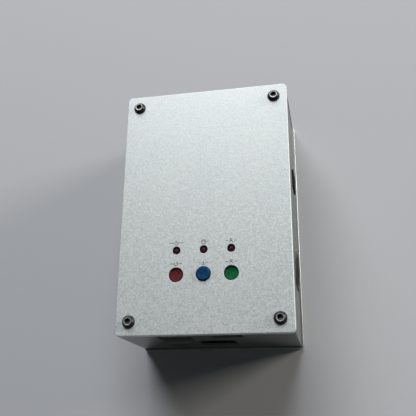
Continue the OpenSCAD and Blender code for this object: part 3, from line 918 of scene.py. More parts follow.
@dataclass
class Enclosure:
    """Lid, base and four walls of the box.

    Each entry of front_rooms and right_rooms is a socket's node and the room beside, under and over it.
    """

    corner_radius: float = 2.0
    edge: float = 0.3
    wall_edge: float = 0.12
    screw_inset: float = 6.0
    screw_hole: float = 1.6
    lamp_hole: float = 1.8
    button_hole: float = 3.25
    tap_hole: float = 1.25
    mount_pitch: tuple[float, float] = (50.0, 80.0)
    tap_mouth: float = 0.25
    sink_radius: float = 3.05
    sink_depth: float = 1.5
    outline_radius: float = 0.15
    window_radius: float = 0.25
    front_rooms: tuple[tuple[str, float, float, float], ...] = (
        ("twin_usb_shell", 0.6, 0.2, 0.2),
        ("single_usb_shell", 0.4, 0.2, 0.4),
        ("front_ethernet_shell", 0.2, 0.2, 0.2),
        ("micro_usb_shell", 0.6, 0.2, 0.6),
        ("card_socket", -0.8, 0.1, -0.1),
    )
    right_rooms: tuple[tuple[str, float, float, float], ...] = (
        ("side_ethernet_shell", 0.2, 0.2, 0.2),
        ("power_jack_body", 0.2, 0.2, 0.2),
    )
    lid: Span = field(default_factory=lambda: Span.of("top_plate"))
    base: Span = field(default_factory=lambda: Span.of("base_plate"))

    def screw_spots(self) -> np.ndarray:
        """Centres of the four corner screws, one row (x, y) each."""
        reach = self.lid.size[:2] / 2 - self.screw_inset
        return np.array([[sx, sy] for sx in (-1, 1) for sy in (-1, 1)]) * reach + self.lid.middle[:2]

    def make_lid(self) -> None:
        """The lid, pierced for its screws, lamps and buttons."""
        width, length, _ = self.lid.size
        holes = [circle(self.screw_hole) + spot for spot in self.screw_spots()]
        holes += [circle(self.lamp_hole) + Span.of(f"{lamp}_led").middle[:2] for lamp in LAMPS]
        holes += [circle(self.button_hole) + Span.of(f"{column}_cap").middle[:2] for column in COLUMNS]
        outline = round_rect(width, length, self.corner_radius) + self.lid.middle[:2]
        plate = slab(outline, self.lid.lo[2], self.lid.hi[2], self.edge, holes, self.wall_edge)
        build("lid_plate", [plate], LID_ALUMINIUM, "anodised", stands_for=["top_plate"])

    def make_base(self) -> None:
        """The base, with countersunk screw holes and four tapped mounting holes, seen from below."""
        width, length, thick = self.base.size
        spots = self.screw_spots() * (1, -1)
        taps = [np.array([sx, sy]) * self.mount_pitch / 2 for sx in (-1, 1) for sy in (-1, 1)]
        outline = round_rect(width, length, self.corner_radius)
        mouth = self.sink_radius - self.screw_hole
        sink = [(mouth, 0.0, 0.0), (0.0, -self.sink_depth, 0.0), (0.0, -thick, 0.0)]
        tap = [(self.tap_mouth, 0.0, 0.5), (0.0, -self.tap_mouth, 0.0), (0.0, -thick, 0.0)]
        holes = [(circle(self.screw_hole) + spot, sink) for spot in spots]
        holes += [(circle(self.tap_hole) + spot, tap) for spot in taps]
        plate = pierced(outline, edges(0.0, -thick, self.edge), holes)
        origin = (self.base.middle[0], self.base.middle[1], self.base.lo[2])
        plates = [plate.placed(Facing.BOTTOM, origin)]
        build("base_floor", plates, BASE_ALUMINIUM, "anodised", stands_for=["base_plate"])

    def wall(
        self, node: str, name: str, facing: Facing, windows: Sequence[np.ndarray], look: Finish, slot: str
    ) -> None:
        """One flat wall between base and lid.

        Args:
            node: the CAD node it stands for.
            name: the piece's name.
            facing: which way it looks.
            windows: outlines of its windows, in its own axes from the middle of its lower edge.
            look: its finish.
            slot: its material slot.
        """
        span = Span.of(node)
        low, high = self.base.hi[2], self.lid.lo[2]
        across = 0 if facing in (Facing.FRONT, Facing.REAR) else 1
        thick = span.size[1 - across]
        outline = round_rect(span.size[across], high - low, self.outline_radius, 3) + (0, (high - low) / 2)
        plate = slab(outline, -thick, 0.0, self.wall_edge, windows, self.wall_edge)
        outward = np.array(facing.value[2], float)
        origin = span.middle + outward * span.size / 2
        origin[2] = low
        build(name, [plate.placed(facing, origin)], look, slot, stands_for=[node])

    def window(
        self, node: str, wall: str, facing: Facing, sides: float, below: float, above: float
    ) -> np.ndarray:
        """Outline of the window that a socket looks through.

        Args:
            node: the socket's shell.
            wall: the wall's node.
            facing: which way the wall looks.
            sides: room on either side of the shell.
            below: room under it.
            above: room over it.

        Returns:
            The outline, in the wall's own axes.
        """
        shell, middle = Span.of(node), Span.of(wall).middle
        right = np.array(facing.value[0], float)
        width = abs(shell.size @ right) + 2 * sides
        height = shell.size[2] + below + above
        place = ((shell.middle - middle) @ right, shell.middle[2] + (above - below) / 2 - self.base.hi[2])
        return round_rect(width, height, self.window_radius, 3) + place

    def make_walls(self) -> None:
        """The four walls, the front and right ones with windows for their sockets."""
        front = [self.window(node, "front_wall", Facing.FRONT, *room) for node, *room in self.front_rooms]
        right = [self.window(node, "right_wall", Facing.RIGHT, *room) for node, *room in self.right_rooms]
        self.wall("front_wall", "front_panel", Facing.FRONT, front, SHADED_WALL_ALUMINIUM, "anodised")
        self.wall("right_wall", "right_panel", Facing.RIGHT, right, SHADED_WALL_ALUMINIUM, "anodised")
        self.wall("left_wall", "left_panel", Facing.LEFT, [], SHADED_WALL_ALUMINIUM, "anodised")
        self.wall("rear_panel", "rear_plate", Facing.REAR, [], REAR_ALUMINIUM, "dark_anodised")

    def make(self) -> None:
        """Builds the whole enclosure."""
        self.make_lid()
        self.make_base()
        self.make_walls()


@dataclass
class CornerScrews:
    """M3 button-head screws in the lid and countersunk ones in the base, both with a 2 mm hexagon socket."""

    spots: np.ndarray
    head_radius: float = 2.85
    head_height: float = 1.65
    land_radius: float = 1.75
    socket: float = 1.0
    socket_depth: float = 1.0
    shank_radius: float = 1.45
    shank_length: float = 10.0
    point: float = 0.3
    sunk_radius: float = 2.75
    cone_depth: float = 1.45
    rim_round: float = 0.06
    spins: tuple[float, ...] = (12.0, 47.0, 31.0, 3.0)

    def shank(self) -> list[Ring]:
        """The shank's end, from its middle out to its side."""
        radius, end = self.shank_radius, -self.shank_length
        return plain([(0.0, end), (radius - self.point, end), (radius, end + self.point)])

    def button_head(self, spin: float) -> Surface:
        """One button-head screw standing on height 0.

        The dome is an arc through the rim and the land, whose radius comes from both. The socket's mouth goes
        from a circle to a hexagon, and its floor ends in the drill's shallow cone. The mark is highest on the
        land round the socket, where the key bites: real wear. The lower values on the socket's walls and
        floor are a painted reflection.

        Args:
            spin: turn of the socket, in degrees.

        Returns:
            The screw with its shank.
        """
        land, rim, high = self.land_radius, self.head_radius, self.head_height
        centre = (land**2 + high**2 - rim**2) / (2 * high)
        radius = math.hypot(rim, centre)
        levels = np.linspace(self.rim_round, 1.0, 10) * high
        dome = [(math.sqrt(radius**2 - (z - centre) ** 2), float(z), 0.0, 0.2) for z in levels]
        seat = plain([(self.shank_radius, 0.0), (rim - self.rim_round, 0.0)])
        hollow = [
            (land - self.rim_round, high, 0.0, 0.9),
            (land - 0.22, high, 0.0, 1.0),
            (self.socket * 1.32, high, 0.0, 0.8),
            # The marks on the socket's walls and floor paint a reflection there in the bare metal's colour.
            (self.socket * 1.24, high - 0.03, 0.2, 0.1),
            (self.socket, high - 0.2, 1.0, 0.35),
            (self.socket, high - self.socket_depth, 1.0, 0.0),
            (self.socket * 0.9, high - self.socket_depth - 0.05, 1.0, 0.35),
            (0.0, high - self.socket_depth - 0.25, 0.0, 0.6),
        ]
        return turned(self.shank() + seat + dome + hollow, spin=spin)

    def sunk_head(self, spin: float) -> Surface:
        """One countersunk screw whose face lies at height 0 and whose shank goes down.

        Args:
            spin: turn of the socket, in degrees.

        Returns:
            The screw with its shank.
        """
        head = [
            (self.shank_radius, -self.cone_depth, 0.0, 0.0),
            (self.sunk_radius, -0.08, 0.0, 0.2),
            (self.sunk_radius - 0.07, 0.0, 0.0, 0.6),
            (self.socket * 1.22, 0.0, 0.0, 0.8),
            (self.socket * 1.05, -0.1, 0.6, 0.9),
            (self.socket, -0.16, 1.0, 0.3),
            (self.socket, -self.socket_depth, 1.0, 0.0),
            (0.0, -self.socket_depth - 0.15, 0.0, 0.0),
        ]
        return turned(self.shank() + head, spin=spin)

    def make(self) -> None:
        """Four screws in the lid and four in the base, each turned to its own angle."""
        lid_top = Span.of("top_plate").hi[2]
        face = Span.of("base_screws").lo[2]
        turns = list(zip(self.spots, self.spins))
        upper = [self.button_head(spin).shifted((*spot, lid_top)) for spot, spin in turns]
        lower = [self.sunk_head(spin).placed(Facing.BOTTOM, (*spot, face)) for spot, spin in turns]
        build("lid_button_screws", upper, BLACK_OXIDE, "black_oxide", stands_for=["lid_screws"])
        build("base_sunk_screws", lower, BLACK_OXIDE, "black_oxide", stands_for=["base_screws"])


# ---------------------------------------------------------------- controls


@dataclass
class PushButton:
    """A round moulded cap with a square socket underneath for its switch's post."""

    column: str
    look: Finish
    edge: float = 0.45
    edge_wear: float = 0.1
    dish: float = 0.12
    dish_rings: tuple[float, ...] = (0.96, 0.85, 0.65, 0.4, 0.2, 0.0)
    post: float = 2.5
    play: float = 0.05
    chamfer: float = 0.15

    def cap(self) -> Surface:
        """The cap: a turned body whose top is slightly hollow, with a round edge.

        The top's height is the rim's minus dish times (1 - (r / rim) squared). The hollow's circles become
        squares: each point moves out by its distance from the middle over its longer coordinate.

        Returns:
            The cap at its place in the frame.
        """
        span = Span.of(f"{self.column}_cap")
        radius, low, high = span.size[0] / 2, span.lo[2], span.hi[2]
        turn = np.linspace(0, np.pi / 2, 6)
        drop = self.edge * (1 - np.array([np.cos(turn), np.sin(turn)]))
        round_edge = plain(zip(radius - drop[0], high - drop[1]), self.edge_wear)
        rim = radius - self.edge
        top = plain([(rim * share, high - self.dish * (1 - share * share)) for share in self.dish_rings])
        depth = Span.of(f"{self.column}_plunger").hi[2] + self.play
        mouth, step = self.post / 2, self.chamfer
        inside = plain([(0.0, depth), (mouth, depth), (mouth, low + step)])
        skirt = plain([(mouth + step, low), (radius - step, low), (radius, low + step)])
        whole = turned(inside + skirt + round_edge + top)
        squared = whole.points.copy()
        slack = 0.01
        pick = (np.hypot(squared[:, 0], squared[:, 1]) < mouth + slack) & (squared[:, 2] < depth + slack)
        reach = np.maximum(np.abs(squared[pick, :2]).max(1), 1e-9)
        squared[pick, :2] *= (np.hypot(squared[pick, 0], squared[pick, 1]) / reach)[:, None]
        return Surface(squared + (*span.middle[:2], 0.0), whole.faces, whole.wear)

    def make(self) -> None:
        """Builds the cap on its own moving body."""
        name = f"{self.column}_button_cap"
        slot = f"{self.column}_plastic"
        build(name, [self.cap()], self.look, slot, f"{self.column}_button", [f"{self.column}_cap"])


@dataclass
class Lamp:
    """A 3 mm indicator lamp, unlit: tinted lens on a flange, cup on a post inside, two leads."""

    title: str
    radius: float = 1.5
    flange: float = 1.9
    flange_height: float = 1.0
    chamfer: float = 0.1
    lead: float = 0.45
    lead_pitch: float = 2.54
    # Radius and height over the flange's lower face: a post, a cone that widens, and the cup in it.
    cup: tuple[tuple[float, float], ...] = (
        (0.0, 0.2),
        (0.35, 0.2),
        (0.35, 2.1),
        (0.8, 2.9),
        (0.68, 2.95),
        (0.3, 2.5),
        (0.0, 2.5),
    )

    @property
    def span(self) -> Span:
        """The lamp's box."""
        return Span.of(f"{self.title}_led")

    @property
    def base(self) -> float:
        """Height of the flange's lower face."""
        return float(Span.of("led_spacers").hi[2])

    def lens(self) -> Surface:
        """The lens: a flange, a straight barrel and a half sphere.

        Returns:
            The lens at its place in the frame.
        """
        turn = np.linspace(0, np.pi / 2, 10)
        dome = plain(zip(self.radius * np.cos(turn), self.span.hi[2] - self.radius * (1 - np.sin(turn))))
        low, high, step = self.base, self.base + self.flange_height, self.chamfer
        foot = plain(
            [
                (0.0, low),
                (self.flange - step, low),
                (self.flange, low + step),
                (self.flange, high - step),
                (self.flange - step, high),
                (self.radius + 0.02, high),
            ]
        )
        return turned(foot + dome, 32).shifted((*self.span.middle[:2], 0.0))

    def inner(self) -> Surface:
        """The cup that holds the die, on its post."""
        return turned(plain(self.cup), 24).shifted((*self.span.middle[:2], self.base))

    def leads(self) -> list[Surface]:
        """Two square leads from the lens down through the board.

        Returns:
            One surface per lead.
        """
        loop = round_rect(self.lead, self.lead, 0.08, 3)
        spots = [self.span.middle[:2] + (side * self.lead_pitch / 2, 0) for side in (-1, 1)]
        return [slab(loop + spot, self.span.lo[2], self.base - 0.02, 0.05) for spot in spots]

    def make(self) -> None:
        """Builds lens, cup and leads."""
        node = f"{self.title}_led"
        build(f"{self.title}_lamp_lens", [self.lens()], LAMP_EPOXY, "lens", stands_for=[node])
        build(f"{self.title}_lamp_cup", [self.inner()], SPRING_STEEL, "plated_steel")
        build(f"{self.title}_lamp_leads", self.leads(), SPRING_STEEL, "plated_steel")


class Sign(Enum):
    """Plain signs printed over the controls, as strokes in a square one unit high."""

    POWER = "power"
    STORE = "store"
    PERSON = "person"
    AGAIN = "again"
    LINK = "link"

    def strokes(self) -> list[np.ndarray]:
        """The sign's strokes, each a path in a square from -0.5 to 0.5.

        Returns:
            One row (x, y) per point of each stroke.
        """
        if self is Sign.POWER:
            return [arc((0, -0.05), 0.42, 125, 415, 24), np.array([[0, 0.5], [0, 0.02]])]
        if self is Sign.STORE:
            oval = (0.42, 0.16)
            lid = arc((0, 0), 1.0, 0, 360, 24) * oval + (0, 0.3)
            belly = arc((0, 0), 1.0, 180, 360, 14) * oval + (0, -0.32)
            return [lid, np.vstack([[[-0.42, 0.3]], belly, [[0.42, 0.3]]])]
        if self is Sign.PERSON:
            return [arc((0, 0.24), 0.2, 0, 360, 20), arc((0, -0.45), 0.4, 0, 180, 16)]
        if self is Sign.AGAIN:
            head = np.array([[0.1, 0.5], [0.36, 0.3], [0.08, 0.12]])
            return [arc((0, -0.05), 0.4, 55, -230, 24), head]
        tip = np.array([[-0.18, -0.02], [0, -0.22], [0.18, -0.02]])
        tray = np.array([[-0.42, -0.15], [-0.42, -0.45], [0.42, -0.45], [0.42, -0.15]])
        return [np.array([[0, 0.45], [0, -0.2]]), tip, tray]


@dataclass
class Marking:
    """Small grey signs printed on the lid, each between two short rules."""

    height: float = 1.85
    pen: float = 0.28
    ink: float = 0.02
    lamp_gap: float = 3.4
    button_gap: float = 4.85
    rule_gap: float = 0.35
    shortest_rule: float = 0.4
    sunk: float = 0.008

    def sign(self, sign: Sign, width: float) -> list[Surface]:
        """One sign with its rules, centred on zero.

        Args:
            sign: which sign.
            width: full width over both rules.

        Returns:
            One strip per stroke and rule.
        """
        paths = [path * self.height for path in sign.strokes()]
        inner = self.height / 2 + self.rule_gap
        outer = max(width / 2, inner + self.shortest_rule)
        paths += [np.array([[side * inner, 0.0], [side * outer, 0.0]]) for side in (-1, 1)]
        return [strip(path, self.pen, self.ink) for path in paths]

    def make(self) -> None:
        """Prints a sign over every lamp and every button."""
        top = Span.of("top_plate").hi[2] + self.ink / 2 - self.sunk
        jobs = [
            ("power_led", Sign.POWER, 6.2, self.lamp_gap),
            ("disk_led", Sign.STORE, 4.0, self.lamp_gap),
            ("user_led", Sign.PERSON, 4.7, self.lamp_gap),
            ("red_cap", Sign.AGAIN, 5.2, self.button_gap),
            ("blue_cap", Sign.LINK, 3.9, self.button_gap),
            ("green_cap", Sign.PERSON, 4.8, self.button_gap),
        ]
        parts = []
        for node, sign, width, gap in jobs:
            x, y = Span.of(node).middle[:2]
            parts += [part.shifted((x, y + gap, top)) for part in self.sign(sign, width)]
        build("lid_signs", parts, GREY_INK, "anodised")


# ---------------------------------------------------------------- sockets


def wire(path: np.ndarray, thick: float, wide: float, right: float) -> Surface:
    """A contact or spring bent in the plane of a socket's depth.

    Args:
        path: points (out, up) in the socket's own axes.
        thick: its thickness.
        wide: its width.
        right: where it lies across the socket.

    Returns:
        The bent strip, in (right, up, out).
    """
    return strip(path, thick, wide).swapped((2, 1, 0)).shifted((right, 0.0, 0.0))


def lined(start: Sequence[float], end: Sequence[float], bulge: float, steps: int = 10) -> np.ndarray:
    """A path from start to end that swells sideways by bulge times sin(180 degrees times its share).

    Args:
        start: its first point.
        end: its last point.
        bulge: how far it swells.
        steps: how many points it has.

    Returns:
        One row (out, up) per point.
    """
    share = np.linspace(0, 1, steps)[:, None]
    first, last = np.array(start, float), np.array(end, float)
    along = last - first
    side = np.array([-along[1], along[0]]) / np.linalg.norm(along)
    return first + share * along + side * bulge * np.sin(np.pi * share)


@dataclass
class Socket:
    """What all sockets share: a shell and where it stands, seen from its open end."""

    shell: str
    facing: Facing
    wall: float = 0.35
    back_bevel: float = 0.15
    flare_from: float = 0.9
    flare_middle: float = 0.4
    flare_share: float = 0.35

    @property
    def span(self) -> Span:
        """The shell's box."""
        return Span.of(self.shell)

    @property
    def width(self) -> float:
        """Its width as seen from its open end."""
        return float(abs(self.span.size @ np.array(self.facing.value[0], float)))

    @property
    def height(self) -> float:
        """Its height."""
        return float(self.span.size[2])

    @property
    def depth(self) -> float:
        """How deep it reaches."""
        return float(abs(self.span.size @ np.array(self.facing.value[2], float)))

    @property
    def origin(self) -> np.ndarray:
        """The middle of the lower edge of its open end.

        Returns:
            The point (x, y, z) in the frame.
        """
        out = np.array(self.facing.value[2], float)
        place = self.span.middle + out * self.span.size / 2
        place[2] = self.span.lo[2]
        return place

    def mouth(self, loop: np.ndarray, lip: float) -> Surface:
        """A folded shell, closed at the back, with a mouth that flares by lip.

        Args:
            loop: outline of the shell, seen from its open end.
            lip: how far its mouth flares.

        Returns:
            The shell.
        """
        wall, depth, bevel = self.wall, self.depth, self.back_bevel
        outside = [
            (-bevel, -depth, 0.0),
            (0.0, -depth + bevel, 0.0),
            (0.0, -self.flare_from, 0.0),
            (lip * self.flare_share, -self.flare_middle, 0.2),
            (lip, 0.0, 0.8),
        ]
        inside = [(growth - wall, level, mark) for growth, level, mark in outside[:1:-1]]
        floor = [(-wall, -depth + wall + bevel, 0.0), (-wall - bevel, -depth + wall, 0.0)]
        return skin(loop, [*outside, (lip - wall / 2, 0.06, 1.0), *inside, *floor])

    def put(
        self, name: str, parts: Iterable[Surface], look: Finish, slot: str, stands_for: Sequence[str] = ()
    ) -> None:
        """Carries parts from the socket's own axes to its place and builds them as one piece.

        Args:
            name: the piece's name.
            parts: its surfaces.
            look: its finish.
            slot: its material slot.
            stands_for: the CAD nodes it replaces.
        """
        placed = [part.placed(self.facing, self.origin) for part in parts]
        build(name, placed, look, slot, stands_for=stands_for)


@dataclass
class UsbSocket(Socket):
    """One or two type A ports in one folded shell."""

    insert: str = ""
    # For each port: height of its tongue's lower face, and of the springs in its floor.
    ports: tuple[tuple[float, float], ...] = ((4.0, 0.4),)
    # Width, thickness and depth of each tongue.
    tongue: tuple[float, float, float] = (11.1, 1.8, 10.2)
    lip: float = 0.22
    heel: float = 11.0
    # Lower and upper edge of the rail between stacked ports.
    rail: tuple[float, float] = (6.3, 9.3)
    spring_side: float = 3.2
    spring_reach: tuple[float, float] = (-1.2, -7.5)
    spring_bulge: float = 0.5
    spring_section: tuple[float, float] = (0.18, 2.2)
    contact_section: tuple[float, float] = (0.16, 1.0)
    contact_end: float = -9.5
    shell_corner: float = 0.7
    # Where each contact lies across the tongue, and how far back it starts.
    contact_spots: tuple[tuple[float, float], ...] = ((-3.5, 1.6), (-1.0, 2.6), (1.0, 2.6), (3.5, 1.6))

    def springs(self, low: float, high: float) -> list[Surface]:
        """Leaf springs pressed out of the shell: two from above and two from below.

        Args:
            low: height of the port's floor.
            high: height of the port's roof.

        Returns:
            The four springs.
        """
        near, far = self.spring_reach
        upper = lined((near, high - 0.2), (far, high - 0.15), self.spring_bulge)
        lower = lined((far, low + 0.1), (near, low + 0.1), self.spring_bulge)
        sides = (-self.spring_side, self.spring_side)
        return [wire(path, *self.spring_section, right) for right in sides for path in (upper, lower)]

    def contacts(self, level: float) -> list[Surface]:
        """Four flat contacts under the tongue, the outer two longer than the inner two.

        Args:
            level: height of the tongue's lower face.

        Returns:
            The four contacts.
        """
        low, end = level - 0.03, self.contact_end
        paths = [(right, lined((-start, low), (end, low), 0.04)) for right, start in self.contact_spots]
        return [wire(path, *self.contact_section, right) for right, path in paths]

    def make(self) -> None:
        """Builds shell, springs, insert and contacts."""
        w, h = self.width, self.height
        parts = [self.mouth(round_rect(w, h, self.shell_corner, 5) + (0, h / 2), self.lip)]
        if len(self.ports) > 1:
            low, high = self.rail
            rail = round_rect(w - 0.6, high - low, 0.4, 4) + (0, (low + high) / 2)
            parts.append(slab(rail, -self.heel, 0.0, 0.25))
        roofs = (self.rail[0] - 0.05, h - self.wall)[-len(self.ports) :]
        for (_, floor), roof in zip(self.ports, roofs):
            parts += self.springs(floor, roof)
        self.put(f"{self.shell}_folded", parts, SHADED_NICKEL_SHEET, "plated_steel", [self.shell])
        long, thick, deep = self.tongue
        heel = round_rect(w - 1.0, h - 1.0, 0.3, 3) + (0, h / 2)
        body = [slab(heel, 0.6 - self.depth, -self.heel, 0.15)]
        root = -self.heel - 0.4
        for level, _ in self.ports:
            blade = round_rect(long, thick, 0.3, 4) + (0, level + thick / 2)
            body.append(slab(blade, root, root + deep, 0.22))
        self.put(f"{self.insert}_moulded", body, BLACK_NYLON, "black_plastic", [self.insert])
        gold = [bar for level, _ in self.ports for bar in self.contacts(level)]
        self.put(f"{self.shell}_contacts", gold, GOLD_PLATE, "gold_contact")


@dataclass
class EthernetSocket(Socket):
    """An 8-pole modular socket: a shield with side springs, and a moulded insert with a stepped cavity."""

    insert: str = ""
    cavity_depth: float = 13.0
    face: float = -0.3
    slack: float = 0.4
    lip: float = 0.08
    spring_reach: tuple[float, float] = (-1.0, -6.0)
    spring_section: tuple[float, float] = (0.18, 3.0)
    spring_inset: float = 0.45
    spring_level: float = 0.55
    # Half of the cavity's outline, from the latch's notch up: distance from the middle and height.
    steps: tuple[tuple[float, float], ...] = (
        (1.6, 1.2),
        (1.6, 2.4),
        (3.1, 2.4),
        (3.1, 4.0),
        (5.9, 4.0),
        (5.9, 11.0),
    )

    def cavity(self) -> np.ndarray:
        """Outline of the cavity: a wide throat with two steps below it for the latch, anticlockwise.

        Returns:
            One row (right, up) per point.
        """
        right = np.array(self.steps)
        return np.vstack([right, (right * (-1, 1))[::-1]])

    def moulding(self) -> Surface:
        """The insert: a block with a rounded front edge round a blind stepped cavity.

        Returns:
            The closed block.
        """
        wide, high = self.width - 2 * self.slack, self.height - 2 * self.slack
        block = round_rect(wide, high, 0.4, 4) + (0, self.height / 2)
        inner = [(0.3, self.face, 0.3), (0.0, self.face - 0.5, 0.0), (0.0, -self.cavity_depth, 0.0)]
        return blind(block, edges(self.face, self.slack - self.depth, 0.2), self.cavity(), inner)

    def make(self) -> None:
        """Builds shield and insert; the contacts keep their frame shape."""
        loop = round_rect(self.width, self.height, 0.5, 4) + (0, self.height / 2)
        shield = [self.mouth(loop, self.lip)]
        near, far = self.spring_reach
        spring = wire(lined((near, 0.0), (far, 0.0), 0.3), *self.spring_section, 0.0).swapped((1, 0, 2))
        for side in (-1, 1):
            bar = Surface(spring.points * (side, 1, 1), spring.faces, spring.wear)
            right = side * (self.width / 2 - self.spring_inset)
            shield.append(bar.shifted((right, self.height * self.spring_level, 0.0)))
        self.put(f"{self.shell}_shield", shield, SHADED_NICKEL_SHEET, "plated_steel", [self.shell])
        self.put(f"{self.insert}_moulded", [self.moulding()], BLACK_NYLON, "black_plastic", [self.insert])


@dataclass
class MicroSocket(Socket):
    """A micro B port: a shell with cut lower corners, a flared mouth and a thin tongue."""

    insert: str = ""
    cut: float = 0.8
    lip: float = 0.15
    # Width, thickness, height of the middle, and how far back it ends and begins.
    tongue: tuple[float, ...] = (3.7, 0.6, 1.8, -4.4, -0.7)
    # The same without a width, which comes from the shell.
    heel: tuple[float, ...] = (1.3, 1.65, -5.1, -4.2)
    contact_pitch: float = 0.65
    contact_level: float = 1.48

    def make(self) -> None:
        """Builds shell, tongue and contacts."""
        w, h, c = self.width, self.height, self.cut
        half = np.array([(w / 2 - c, 0), (w / 2, c), (w / 2, h)])
        loop = np.vstack([half, (half * (-1, 1))[::-1]])
        folded = [self.mouth(loop, self.lip)]
        self.put(f"{self.shell}_folded", folded, SHADED_NICKEL_SHEET, "plated_steel", [self.shell])
        wide, thick, level, back, front = self.tongue
        blade = slab(round_rect(wide, thick, 0.15, 3) + (0, level), back, front, 0.12)
        thick, level, back, front = self.heel
        heel = slab(round_rect(w - 1.0, thick, 0.15, 3) + (0, level), back, front, 0.1)
        self.put(f"{self.insert}_moulded", [blade, heel], BLACK_NYLON, "black_plastic", [self.insert])
        path = lined((-1.1, self.contact_level), (-4.1, self.contact_level), 0.02, 4)
        bars = [wire(path, 0.08, 0.32, place * self.contact_pitch) for place in range(-2, 3)]
        self.put(f"{self.shell}_contacts", bars, GOLD_PLATE, "gold_contact")


@dataclass
class PowerJack(Socket):
    """A barrel jack: a moulded block with a round bore, a centre pin and a side spring."""

    bore: float = 3.15
    bore_height: float = 6.3
    bore_depth: float = 9.5
    pin: float = 1.0
    mouth_bevel: float = 0.35
    pin_root: float = 1.0
    pin_end: float = 1.0
    leaf_reach: tuple[float, float] = (-2.0, -9.0)
    leaf_bulge: float = -0.7
    leaf_section: tuple[float, float] = (0.2, 2.0)

    def make(self) -> None:
        """Builds block, pin and spring."""
        w, h, d = self.width, self.height, self.depth
        block = round_rect(w, h, 0.5, 4) + (0, h / 2)
        hole = circle(self.bore) + (0, self.bore_height)
        bevel, end = self.mouth_bevel, -self.bore_depth
        inner = [(bevel, 0.0, 0.4), (0.0, -bevel, 0.0), (0.0, end, 0.0)]
        body = blind(block, edges(0.0, -d, 0.3), hole, inner)
        self.put("power_jack_moulded", [body], BLACK_NYLON, "black_plastic", [self.shell])
        root, nose = end - self.pin_root, -self.pin_end
        stem = plain([(0.0, root), (self.pin, root), (self.pin, nose - 0.6)])
        tip = [
            (self.pin - 0.12, nose - 0.25, 0.0, 0.4),
            (self.pin - 0.45, nose - 0.02, 0.0, 0.6),
            (0.0, nose, 0.0, 0.4),
        ]
        pin = turned(stem + tip, 32).shifted((0.0, self.bore_height, 0.0))
        self.put("power_jack_centre_pin", [pin], SHADED_NICKEL_SHEET, "plated_steel", ["power_jack_pin"])
        low = self.bore_height - self.bore + 0.12
        near, far = self.leaf_reach
        leaf = wire(lined((near, low), (far, low), self.leaf_bulge), *self.leaf_section, 0.0)
        self.put("power_jack_spring", [leaf], SPRING_STEEL, "plated_steel")


@dataclass
class CardSlot(Socket):
    """A thin pressed card slot under the upper board."""

    bevel: float = 0.1

    def make(self) -> None:
        """Builds the shell with its open mouth."""
        h, back, bevel = self.height, -self.depth, self.bevel
        loop = round_rect(self.width, h, 0.2, 3) + (0, h / 2)
        stations = [
            (-bevel, back, 0.0),
            (0.0, back + bevel, 0.0),
            (0.0, -bevel, 0.2),
            (-0.15, 0.0, 0.6),
            (-0.32, -bevel, 0.2),
            (-self.wall, back + 0.4, 0.0),
        ]
        self.put("card_slot_shell", [skin(loop, stations)], SHADED_NICKEL_SHEET, "plated_steel", [self.shell])


# ---------------------------------------------------------------- inside


@dataclass
class Inside:
    """CAD nodes that keep their shape and only take a finish."""

    looks: dict[str, Finish] = field(
        default_factory=lambda: {
            "corner_posts": TURNED_ALUMINIUM,
            "main_board": GREEN_MASK,
            "processor_board": GREEN_MASK,
            "control_board": GREEN_MASK,
            "base_standoffs": TURNED_BRASS,
            "board_standoffs": TURNED_BRASS,
            "control_spacers": TURNED_BRASS,
            "board_screws": SHADED_NICKEL_SHEET,
            "control_screws": SHADED_NICKEL_SHEET,
            "ethernet_contacts": GOLD_PLATE,
            "red_plunger": BLACK_NYLON,
            "blue_plunger": BLACK_NYLON,
            "green_plunger": BLACK_NYLON,
            "red_dome": SPRING_STEEL,
            "blue_dome": SPRING_STEEL,
            "green_dome": SPRING_STEEL,
            "switch_housings": BLACK_NYLON,
            "switch_covers": SHADED_NICKEL_SHEET,
            "led_spacers": IVORY_NYLON,
            "ribbon_cable": IVORY_NYLON,
            "ribbon_sockets": IVORY_NYLON,
            "header_socket": BLACK_NYLON,
            "header_pins": GOLD_PLATE,
            "processor_chip": CHIP_EPOXY,
            "thermal_pad": GAP_RUBBER,
            "heat_sink": SINK_ALUMINIUM,
            "memory_chips": CHIP_EPOXY,
            "storage_card": GREEN_MASK,
            "storage_socket": BLACK_NYLON,
            "storage_screw": TURNED_BRASS,
            "power_parts": CHIP_EPOXY,
        }
    )

    def make(self) -> None:
        """Gives every kept node its material."""
        for node, look in self.looks.items():
            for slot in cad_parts[node].material_slots:
                slot.material = look.material()
            LOG.info("%s: kept, %s", node, look.name)


# ---------------------------------------------------------------- studio


@dataclass(frozen=True)
class SoftLight:
    """One square soft light that looks at a point. Its power is in watts and its tint is sRGB hex."""

    name: str
    place: tuple[float, float, float]
    side: float
    power: float
    tint: str
    aim: tuple[float, float, float] = (0.0, 0.0, 0.0)

    def make(self) -> None:
        """Hangs the light and turns it to its point."""
        data = bpy.data.lights.new(self.name, "AREA")
        data.size = self.side * MM
        data.energy = self.power
        data.color = linear(self.tint)[:3]
        made = bpy.data.objects.new(self.name, data)
        made.location = Vector(self.place) * MM
        made.rotation_mode = "QUATERNION"
        made.rotation_quaternion = (Vector(self.aim) * MM - made.location).to_track_quat("-Z", "Y")
        made.visible_camera = False
        bpy.context.scene.collection.objects.link(made)


